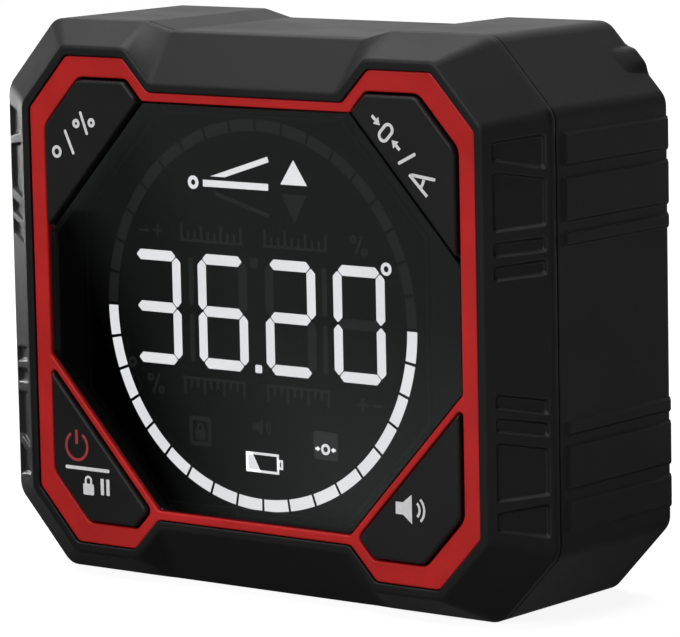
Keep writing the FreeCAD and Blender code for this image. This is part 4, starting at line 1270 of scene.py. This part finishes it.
    def build(self) -> None:
        """Builds the layers, dresses them and ties them to the casing."""
        lit, rest, dim = self.sheet(), self.sheet(), self.sheet()
        self.figures(lit, rest)
        self.ring(lit, rest)
        self.slope_sign(lit, rest)
        self.rulers(rest)
        self.lower_signs(lit, rest, dim)
        self.reading_signs(lit)
        for sheet, name, finish in ((lit, "display_lit_segments", SEGMENT_LIT),
                                    (rest, "display_resting_segments", SEGMENT_REST),
                                    (dim, "display_dim_segments", SEGMENT_DIM)):
            piece = report(sheet.finished(name), "casing")
            dress(piece, finish.build())


# ---------------------------------------------------------------- window seals
class Rim(NamedTuple):
    """Outline with slanted corners."""

    half_width: float
    half_height: float
    lower_reach: float          # from its middle to its lower slanted sides
    upper_reach: float


@dataclass
class DieCutRing:
    """Flat ring with slanted corners, die cut, that lies a hair behind the window."""

    node: str
    outer: Rim
    inner: Rim
    far: float
    near: float = 1.51

    def plate(self, rim: Rim) -> Piece:
        """Adds a flat plate with slanted corners.

        Args:
            rim: The plate's outline.

        Returns:
            The plate.
        """
        middle = seat(0, self.near, 0)
        start_clean()
        bpy.ops.mesh.primitive_plane_add(size=2, location=middle, rotation=(math.pi / 2, 0, 0))
        plate = bpy.context.object
        plate.scale = (rim.half_width * MM, rim.half_height * MM, 1)
        bpy.ops.object.transform_apply(location=True, rotation=True, scale=True)
        lean = math.radians(CORNER_LEAN)
        for end, reach in ((-1, rim.lower_reach), (1, rim.upper_reach)):
            for side in (-1, 1):
                out = Vector((side * math.cos(lean), 0, end * math.sin(lean)))
                pick_all(plate)
                bpy.ops.mesh.bisect(plane_co=middle + out * reach * MM, plane_no=out,
                                    clear_outer=True)
                bpy.ops.object.mode_set(mode="OBJECT")
        return plate

    def build(self, finish: Material) -> None:
        """Builds the ring and stands it for its node.

        Args:
            finish: The ring's material.
        """
        ring = joined([self.plate(self.outer), self.plate(self.inner)], f"{self.node}_ring")
        pick_all(ring)
        bpy.ops.mesh.delete(type="ONLY_FACE")
        bpy.ops.mesh.select_mode(type="EDGE")
        bpy.ops.mesh.select_all(action="SELECT")
        bpy.ops.mesh.bridge_edge_loops()
        bpy.ops.mesh.select_all(action="SELECT")
        bpy.ops.mesh.extrude_region_move(
            TRANSFORM_OT_translate={"value": (0, (self.far - self.near) * MM, 0)})
        bpy.ops.object.mode_set(mode="OBJECT")
        dress(report(settle(ring, f"{self.node}_ring"), "casing"), finish)
        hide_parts(self.node)


# ---------------------------------------------------------------- keys
@dataclass
class KeyPrints:
    """Signs printed on the four corner keys."""

    depth: float = -0.4
    thick: float = 0.03
    stroke: float = 0.38
    unit_place: Place = (-25.87, 19.89)
    unit_turn: float = 45.0
    reference_place: Place = (23.48, 20.19)
    reference_turn: float = -44.0
    power_place: Place = (-26.77, -17.66)
    hold_place: Place = (-25.17, -20.31)
    sound_place: Place = (22.68, -20.41)
    degree: Arc = Arc((-3.3, 0.55), 0.38, 0.76, steps=28)
    unit_slash: Place = (-1.0, 0.0)
    unit_slash_height: float = 3.0
    percent_place: Place = (2.35, 0.0)
    percent_height: float = 2.7
    zero: float = -3.3                  # middle of the zero
    zero_half_width: float = 0.62
    zero_straight: float = 0.45         # half length of its straight sides
    arrow_ends: Triple = (2.7, 1.9, 1.55)       # tail, neck and head, from the zero's middle
    arrow_head: Place = (1.1, 0.8)      # width and height
    reference_slash: Place = (0.75, 0.0)
    reference_slash_height: float = 2.6
    angle_level: Stroke = Stroke((2.2, -1.05), (5.6, -1.05), 0.38)
    angle_leg: Stroke = Stroke((2.45, -0.85), (5.1, 1.15), 0.38)
    angle_arc: Arc = Arc((2.3, -1.05), 1.81, 2.19, 5, 27, 6)
    power_ring: Arc = Arc((0, 0), 1.5, 1.86, 122, 296, 40)
    power_stroke: Stroke = Stroke((0, 0.25), (0, 2.0), 0.42, 0.12, 2)
    hold_line: Stroke = Stroke((-3.5, 0), (3.5, 0), 0.42, 0.16, 2)
    lock_place: Place = (0.1, -2.0)
    lock_height: float = 2.35
    lock_stroke: float = 0.3
    stop_places: Place = (2.3, 3.2)
    stop_ends: Span = (-3.0, -1.0)
    stop_width: float = 0.5
    stop_cut: float = 0.06
    speaker_size: Place = (2.3, 3.4)
    wave_count: int = 2
    wave_stroke: float = 0.3

    def unit_sign(self) -> Piece:
        """Degree, slash and percent: the key steps through the units.

        Returns:
            The sign.
        """
        sheet = MarkSheet(self.depth, self.thick, self.unit_place, self.unit_turn)
        sheet.arc(*self.degree)
        sheet.slash(self.unit_slash, self.unit_slash_height, self.stroke)
        sheet.percent(self.percent_place, self.percent_height, self.stroke)
        return sheet.finished("unit_key_sign")

    def reference_sign(self) -> Piece:
        """Zero between two arrows, slash, and an angle: relative or absolute reading.

        Returns:
            The sign.
        """
        sheet = MarkSheet(self.depth, self.thick, self.reference_place, self.reference_turn)
        half = self.stroke / 2
        for way in (-1, 1):
            tail, neck, head = (self.zero + way * end for end in self.arrow_ends)
            sheet.bar((tail, 0), (neck, 0), self.stroke)
            sheet.triangle((head, 0), *self.arrow_head, 90 * way)
        for way in (-1, 1):
            side = self.zero + way * self.zero_half_width
            sheet.bar((side, -self.zero_straight), (side, self.zero_straight), self.stroke)
            sheet.arc((self.zero, way * self.zero_straight), self.zero_half_width - half,
                      self.zero_half_width + half, 90 - 90 * way, 180, 14)
        sheet.slash(self.reference_slash, self.reference_slash_height, self.stroke)
        sheet.bar(*self.angle_level)
        sheet.bar(*self.angle_leg)
        sheet.arc(*self.angle_arc)
        return sheet.finished("reference_key_sign")

    def power_sign(self) -> Piece:
        """Power sign: a broken ring with a stroke through its gap.

        Returns:
            The sign.
        """
        sheet = MarkSheet(self.depth, self.thick, self.power_place)
        sheet.arc(*self.power_ring)
        sheet.bar(*self.power_stroke)
        return sheet.finished("power_key_sign")

    def hold_sign(self) -> Piece:
        """Line under the power sign, and a padlock with two stop bars: the reading is held.

        Returns:
            The sign.
        """
        sheet = MarkSheet(self.depth, self.thick, self.hold_place)
        sheet.bar(*self.hold_line)
        sheet.padlock(self.lock_place, self.lock_height, self.lock_stroke)
        low, high = self.stop_ends
        for place in self.stop_places:
            sheet.bar((place, low), (place, high), self.stop_width, self.stop_cut)
        return sheet.finished("hold_key_sign")

    def sound_sign(self) -> Piece:
        """Loudspeaker with two waves.

        Returns:
            The sign.
        """
        sheet = MarkSheet(self.depth, self.thick, self.sound_place)
        sheet.speaker((0, 0), *self.speaker_size, self.wave_count, self.wave_stroke)
        return sheet.finished("sound_key_sign")

    def build(self) -> None:
        """Builds the signs, dresses them and ties each to its key."""
        white, red = KEY_WHITE.build(), KEY_RED.build()
        for piece, body, ink in ((self.unit_sign(), "unit_button", white),
                                 (self.reference_sign(), "reference_button", white),
                                 (self.power_sign(), "power_button", red),
                                 (self.hold_sign(), "power_button", white),
                                 (self.sound_sign(), "sound_button", white)):
            dress(report(piece, body), ink)


# ---------------------------------------------------------------- battery bay
@dataclass
class DryCell:
    """Dry cell in a printed shrink sleeve, with its pole at one end."""

    node: str
    rise: float
    pole_side: int                      # 1 where the pole points right, -1 where left
    depth: float = 19.7
    radius: float = 5.25
    length: float = 43.5                # without the pole
    pole_reach: float = 24.1            # from the middle to the pole's tip
    pole_radius: float = 1.9
    pole_length: float = 1.0
    shoulder: float = 0.8               # of the pole's length that stands straight
    crown: float = 0.35                 # width of the pole's slanted rim
    steps_in: Span = (0.55, 0.45)       # how the can's end narrows to the pole, as shares
    sleeve_thick: float = 0.15
    sleeve_gap: float = 0.05            # from an end of the can to the sleeve's fold
    fold: float = 0.14                  # how far the sleeve folds over the can's rim
    band_width: float = 10.5
    base_rim: float = 1.1
    base_dish: float = 0.3              # width and depth of the dish in the base
    steps: int = 56

    def tube(self, radius: float, near: float, far: float) -> Piece:
        """Adds a closed cylinder between two distances from the pole's tip.

        Args:
            radius: Its radius.
            near: The smaller distance.
            far: The larger distance.

        Returns:
            The cylinder.
        """
        middle = self.pole_side * (self.pole_reach - (near + far) / 2)
        start_clean()
        bpy.ops.mesh.primitive_cylinder_add(
            vertices=self.steps, radius=radius * MM, depth=(far - near) * MM,
            location=seat(middle, self.depth, self.rise),
            rotation=(0, self.pole_side * math.pi / 2, 0))
        piece = bpy.context.object
        bpy.ops.object.transform_apply(location=True, rotation=True, scale=True)
        return piece

    def pick_end(self, piece: Piece, at: float) -> None:
        """Selects the faces at a distance from the pole's tip."""
        x = self.pole_side * (self.pole_reach - at) * MM
        pick(piece, Pick.FACES, lambda ends: all(abs(end.x - x) < 1e-6 for end in ends))

    def caps(self) -> Piece:
        """Builds the can with its stepped pole and its dished base.

        Returns:
            The can.
        """
        near, far = self.pole_length, self.pole_length + self.length
        radius = self.radius - self.sleeve_thick
        can = self.tube(radius, near, far)
        away = self.pole_side * MM
        self.pick_end(can, near)
        for share in self.steps_in:
            bpy.ops.mesh.inset(thickness=(radius - self.pole_radius) * share * MM)
        bpy.ops.mesh.extrude_region_move(
            TRANSFORM_OT_translate={"value": (self.pole_length * self.shoulder * away, 0, 0)})
        bpy.ops.mesh.inset(thickness=self.crown * MM)
        bpy.ops.transform.translate(value=(self.pole_length * (1 - self.shoulder) * away, 0, 0))
        bpy.ops.object.mode_set(mode="OBJECT")
        self.pick_end(can, far)
        for width in (self.base_rim, self.base_dish):
            bpy.ops.mesh.inset(thickness=width * MM)
        bpy.ops.transform.translate(value=(self.base_dish * away, 0, 0))
        bpy.ops.object.mode_set(mode="OBJECT")
        return settle(can, f"{self.node}_can")

    def sleeve(self, near: float, far: float, name: str) -> Piece:
        """Builds a length of sleeve whose ends fold over the can's rim.

        Args:
            near: Distance of its first end from the pole's tip.
            far: Distance of its other end.
            name: The name that it gets.

        Returns:
            The sleeve.
        """
        skin = self.tube(self.radius, near, far)
        for at in (near, far):
            self.pick_end(skin, at)
            bpy.ops.mesh.inset(thickness=self.fold * MM)
            bpy.ops.mesh.delete(type="FACE")
            bpy.ops.object.mode_set(mode="OBJECT")
        return settle(skin, name)

    def build(self, skin: Material, band: Material, metal: Material) -> None:
        """Builds the cell and stands it for its node.

        Args:
            skin: Material of the sleeve.
            band: Material of the sleeve's band next to the pole.
            metal: Material of the can.
        """
        start = self.pole_length + self.sleeve_gap
        end = self.pole_length + self.length - self.sleeve_gap
        seam = start + self.band_width
        for piece, finish, slot in (
                (self.caps(), metal, "steel"),
                (self.sleeve(seam, end, f"{self.node}_sleeve"), skin, "cell"),
                (self.sleeve(start, seam, f"{self.node}_band"), band, "cell")):
            dress(report(piece, "casing"), finish)
            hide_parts(self.node)


@dataclass
class CoverMarks:
    """Marks on the battery cover that show which way round the cells go."""

    depth: float = 28.0
    thick: float = 0.03
    stroke: float = 0.32
    width: float = 30.0
    height: float = 7.0
    corner: float = 0.8
    rise: float = 5.45
    pole_reach: float = 0.65            # from the outline's edge to the pole's middle
    pole_size: Place = (1.6, 2.8)
    pole_corner: float = 0.3
    sign_inset: float = 3.2             # from the outline's edge to a sign's middle
    sign_size: float = 2.6
    sign_stroke: float = 0.5

    def build(self) -> None:
        """Builds the marks and ties them to the cover."""
        sheet = MarkSheet(self.depth, self.thick, facing=Facing.BACK)
        half = self.width / 2
        out = half - self.sign_inset
        for rise, pole in ((self.rise, -1), (-self.rise, 1)):
            sheet.outline((0, rise), self.width, self.height, self.stroke, self.corner)
            sheet.outline((pole * (half + self.pole_reach), rise), *self.pole_size,
                          self.stroke, self.pole_corner)
            sheet.plus((pole * out, rise), self.sign_size, self.sign_stroke)
            sheet.minus((-pole * out, rise), self.sign_size, self.sign_stroke)
        dress(report(sheet.finished("battery_cover_marks"), "cover"), COVER_INK.build())


# ---------------------------------------------------------------- studio
class Softbox(NamedTuple):
    """Lamp with a soft rectangular face that looks at the object."""

    name: str
    place: Triple               # metres
    size: Place                 # metres
    watts: float


class Ramp(NamedTuple):
    """How a brightness grows from one place to another."""

    start: float
    end: float
    from_level: float
    to_level: float


@dataclass
class Studio:
    """Camera, lamps, floor and surroundings. Places are in metres."""

    lens: float = 233.53
    sensor: float = 36.0
    yaw: float = 38.1938
    pitch: float = 8.1483
    roll: float = -1.1799
    eye: Triple = (0.32277, -0.40667, 0.10582)
    clip: Place = (0.01, 100.0)
    softboxes: tuple[Softbox, ...] = (
        Softbox("top_softbox", (-0.15, 0.05, 0.9), (0.9, 0.9), 8.0),
        Softbox("front_softbox", (-0.35, -1.25, 0.75), (0.9, 0.7), 8.5),
        Softbox("rim_softbox", (-0.55, 0.42, 0.02), (0.4, 0.06), 2.6))
    floor_size: float = 12.0
    cuts: int = 3                       # across the floor and across the flag
    floor_paper: str = "A4A4A4"         # what lights the object from below
    floor_paper_glow: float = 0.22
    floor_shade: str = "828282"         # what the camera sees takes this much shadow
    floor_white_glow: float = 0.91
    gloss_shadow_middle: Triple = (0.01, 0.02, 0.0)        # the painted shadow that gloss sees on the floor is centred here
    # painted shadow in the floor's gloss: dark near the object, rising outwards
    gloss_contact_shadow: Ramp = Ramp(0.055, 0.09, 0.13, 0.42)
    gloss_open: Ramp = Ramp(0.1, 0.26, 0.42, 0.24)
    gloss_sideways: Triple = (1.0, -0.939, 0.0)     # the painted floor reflection darkens against this direction
    gloss_side: Ramp = Ramp(0.0171, 0.0351, 0.58, 1.0)
    gloss_far: Ramp = Ramp(0.16, 0.46, 0.0, 1.0)
    back_left: Triple = (-0.6, 0.8, 0.0)            # direction of the pale wall
    wall_ramp: Ramp = Ramp(0.4, 0.9, 0.0, 1.0)
    wall: str = "F2F2F2"
    room: str = "404040"
    room_glow: float = 0.9
    flag_width: float = 0.6
    flag_fade: float = 0.01
    flag_lift: float = 0.002            # over the floor
    flag_ends: tuple[Place, Place] = ((-0.0305, -0.0423), (-0.266, -0.285))  # its right edge

    def camera(self) -> None:
        """Adds the camera and makes it the scene's own."""
        yaw, pitch, roll = (math.radians(a) for a in (self.yaw, self.pitch, self.roll))
        ahead = Vector((-math.sin(yaw) * math.cos(pitch), math.cos(yaw) * math.cos(pitch),
                        -math.sin(pitch)))
        right = Vector((math.cos(yaw), math.sin(yaw), 0))
        up = right.cross(ahead)
        turned_right = math.cos(roll) * right + math.sin(roll) * up
        turned_up = -math.sin(roll) * right + math.cos(roll) * up
        start_clean()
        bpy.ops.object.camera_add()
        camera = bpy.context.object
        camera.name = "studio_camera"
        camera.matrix_world = Matrix((
            (turned_right.x, turned_up.x, -ahead.x, self.eye[0]),
            (turned_right.y, turned_up.y, -ahead.y, self.eye[1]),
            (turned_right.z, turned_up.z, -ahead.z, self.eye[2]),
            (0, 0, 0, 1)))
        camera.data.sensor_fit = "HORIZONTAL"
        camera.data.sensor_width = self.sensor
        camera.data.lens = self.lens
        camera.data.clip_start, camera.data.clip_end = self.clip
        bpy.context.scene.camera = camera

    def lamps(self) -> None:
        """Adds the lamps: a broad box above, a fill at the front and a low rim at the back left."""
        for box in self.softboxes:
            start_clean()
            bpy.ops.object.light_add(type="AREA", location=box.place)
            lamp = bpy.context.object
            lamp.name = box.name
            lamp.data.shape = "RECTANGLE"
            lamp.data.size, lamp.data.size_y = box.size
            lamp.data.energy = box.watts
            lamp.visible_camera = False
            aim = Vector((0, 0, MIDDLE_Z * MM)) - Vector(box.place)
            lamp.rotation_euler = aim.to_track_quat("-Z", "Y").to_euler()

    def sweep(self, tree: Tree) -> Node:
        """Paints what gloss sees of the floor as emission: a painted shadow round the object, a
        darker painted reflection to one side, and a bright one far behind it.

        Args:
            tree: The floor material's tree.

        Returns:
            The shader.
        """
        place = add_node(tree, "ShaderNodeTexCoord").outputs["Object"]
        away = add_node(tree, "ShaderNodeVectorMath", (place, self.gloss_shadow_middle),
                        operation="DISTANCE").outputs["Value"]
        side, back = (add_node(tree, "ShaderNodeVectorMath", (place, way),
                               operation="DOT_PRODUCT").outputs["Value"]
                      for way in (self.gloss_sideways, self.back_left))
        contact, open_floor, sideways, distant = (
            add_node(tree, "ShaderNodeMapRange", (value, *ramp)).outputs[0]
            for value, ramp in ((away, self.gloss_contact_shadow), (away, self.gloss_open),
                                (side, self.gloss_side), (back, self.gloss_far)))
        # Painted floor reflection: a painted shadow near the object, darker to one side, bright far
        # behind
        level = contact
        for other, rule in ((open_floor, "MINIMUM"), (sideways, "MULTIPLY"), (distant, "MAXIMUM")):
            level = add_node(tree, "ShaderNodeMath", (level, other), operation=rule).outputs[0]
        return add_node(tree, "ShaderNodeEmission", {"Strength": level})

    def floor(self) -> None:
        """Adds a wide pale floor that is white to the camera and keeps the object's shadow; gloss
        sees a painted reflection of it instead.
        """
        start_clean()
        bpy.ops.mesh.primitive_plane_add(size=self.floor_size, location=(0, 0, 0))
        floor = bpy.context.object
        floor.name = "studio_floor"
        pick_all(floor)
        bpy.ops.mesh.subdivide(number_cuts=self.cuts)
        bpy.ops.object.mode_set(mode="OBJECT")
        material = bpy.data.materials.new("floor_paper_matt")
        material.use_nodes = True
        tree = material.node_tree
        tree.nodes.clear()
        path = add_node(tree, "ShaderNodeLightPath").outputs
        lit, seen = (
            add_node(tree, "ShaderNodeAddShader", (
                add_node(tree, "ShaderNodeBsdfDiffuse", {"Color": linear(paper)}).outputs[0],
                add_node(tree, "ShaderNodeEmission", {
                    "Color": linear("FFFFFF"), "Strength": glow}).outputs[0])).outputs[0]
            for paper, glow in ((self.floor_paper, self.floor_paper_glow),
                                (self.floor_shade, self.floor_white_glow)))
        gloss = add_node(tree, "ShaderNodeMath", (
            path["Is Glossy Ray"], path["Is Transmission Ray"]), operation="MAXIMUM").outputs[0]
        unseen = add_node(tree, "ShaderNodeMixShader", (gloss, lit, self.sweep(tree).outputs[0]))
        mixed = add_node(tree, "ShaderNodeMixShader",
                         (path["Is Camera Ray"], unseen.outputs[0], seen))
        add_node(tree, "ShaderNodeOutputMaterial", {"Surface": mixed.outputs[0]})
        dress(floor, material)

    def flag(self) -> None:
        """Adds a black card at the left that shows only in gloss: a painted dark reflection that
        casts no shadow and takes no light away.
        """
        start_clean()
        near, far = (Vector((*end, 0)) for end in self.flag_ends)
        run = far - near
        across = (Vector((run.y, -run.x, 0)).normalized()
                  * (self.flag_width / 2 - self.flag_fade / 2))
        bpy.ops.mesh.primitive_plane_add(
            size=1, location=(near + far) / 2 + across + Vector((0, 0, self.flag_lift)),
            rotation=(0, 0, math.atan2(run.y, run.x)))
        card = bpy.context.object
        card.name = "black_flag"
        card.scale = (run.length, self.flag_width, 1)
        fix_scale(card)
        pick_all(card)
        bpy.ops.mesh.subdivide(number_cuts=self.cuts)
        bpy.ops.object.mode_set(mode="OBJECT")
        material, tree, shader = blank_material("flag_painted_dark_reflection")
        place = add_node(tree, "ShaderNodeTexCoord").outputs["Object"]
        out = add_node(tree, "ShaderNodeSeparateXYZ", (place,)).outputs["Y"]
        edge = self.flag_width / 2
        plug(shader, {
            "Base Color": linear("050505"),
            "Roughness": 1.0,
            "Specular IOR Level": 0.0,
            "Alpha": add_node(tree, "ShaderNodeMapRange", (
                out, edge - self.flag_fade, edge, 1.0, 0.0)).outputs[0]})
        dress(card, material)
        # Seen only in reflections: a painted dark reflection that casts no shadow
        card.visible_camera = False
        card.visible_diffuse = False
        card.visible_shadow = False

    def surroundings(self) -> None:
        """Makes the world: white to the camera, a pale wall at the back left, a dim room else."""
        world = bpy.data.worlds.new("studio_world")
        world.use_nodes = True
        tree = world.node_tree
        tree.nodes.clear()
        way = add_node(tree, "ShaderNodeTexCoord").outputs["Generated"]
        back = add_node(tree, "ShaderNodeVectorMath", (way, self.back_left),
                        operation="DOT_PRODUCT").outputs["Value"]
        share = add_node(tree, "ShaderNodeMapRange", (back, *self.wall_ramp)).outputs[0]
        room = add_node(tree, "ShaderNodeMix", {
            0: share, 6: linear(self.room), 7: linear(self.wall)}, data_type="RGBA").outputs[2]
        dim = add_node(tree, "ShaderNodeBackground", {"Color": room, "Strength": self.room_glow})
        white = add_node(tree, "ShaderNodeBackground", {"Color": linear("FFFFFF"), "Strength": 1.0})
        path = add_node(tree, "ShaderNodeLightPath").outputs
        mixed = add_node(tree, "ShaderNodeMixShader",
                         (path["Is Camera Ray"], dim.outputs[0], white.outputs[0]))
        add_node(tree, "ShaderNodeOutputWorld", {"Surface": mixed.outputs[0]})
        bpy.context.scene.world = world

    def build(self) -> None:
        """Sets up the whole studio."""
        self.camera()
        self.lamps()
        self.floor()
        self.flag()
        self.surroundings()
        bpy.context.scene.view_settings.view_transform = "Standard"


# ---------------------------------------------------------------- the device
@dataclass
class Device:
    """The inclinometer: its CAD nodes and the pieces added to them."""

    display: Display = field(default_factory=Display)
    rings: tuple[DieCutRing, ...] = (
        DieCutRing("window_tape", outer=Rim(30.8, 24.4, 27.15, 27.96),
                   inner=Rim(25.95, 23.85, 26.35, 26.35), far=1.7),
        DieCutRing("lcd_foam", outer=Rim(25.6, 23.5, 26.0, 26.0),
                   inner=Rim(25.25, 23.15, 25.65, 25.65), far=1.9))
    prints: KeyPrints = field(default_factory=KeyPrints)
    cover_marks: CoverMarks = field(default_factory=CoverMarks)
    cells: tuple[DryCell, ...] = (DryCell("battery_upper", rise=5.45, pole_side=1),
                                  DryCell("battery_lower", rise=-5.45, pole_side=-1))

    def dress_nodes(self) -> None:
        """Gives every CAD node the finish of its slot."""
        built = {slot: finish.build() for slot, finish in SLOT_FINISHES.items()}
        slots = {part["node"]: part["material_slot"] for part in frame["record"]["subparts"]}
        for name, node in frame["nodes"].items():
            dress(node, built[slots[name]])
            log.info("%s is finished as %s", name, slots[name])

    def build(self) -> None:
        """Dresses the nodes and builds the added pieces."""
        self.dress_nodes()
        self.display.build()
        seal = SLOT_FINISHES["seal"].build()
        for ring in self.rings:
            ring.build(seal)
        self.prints.build()
        self.cover_marks.build()
        skin, band, metal = SLOT_FINISHES["cell"].build(), CELL_BAND.build(), CELL_METAL.build()
        for cell in self.cells:
            cell.build(skin, band, metal)


def main() -> None:
    """Builds the studio and the device."""
    logging.basicConfig(level=logging.INFO, format="%(name)s: %(message)s")
    Studio().build()
    Device().build()


if __name__ == "__main__":
    main()
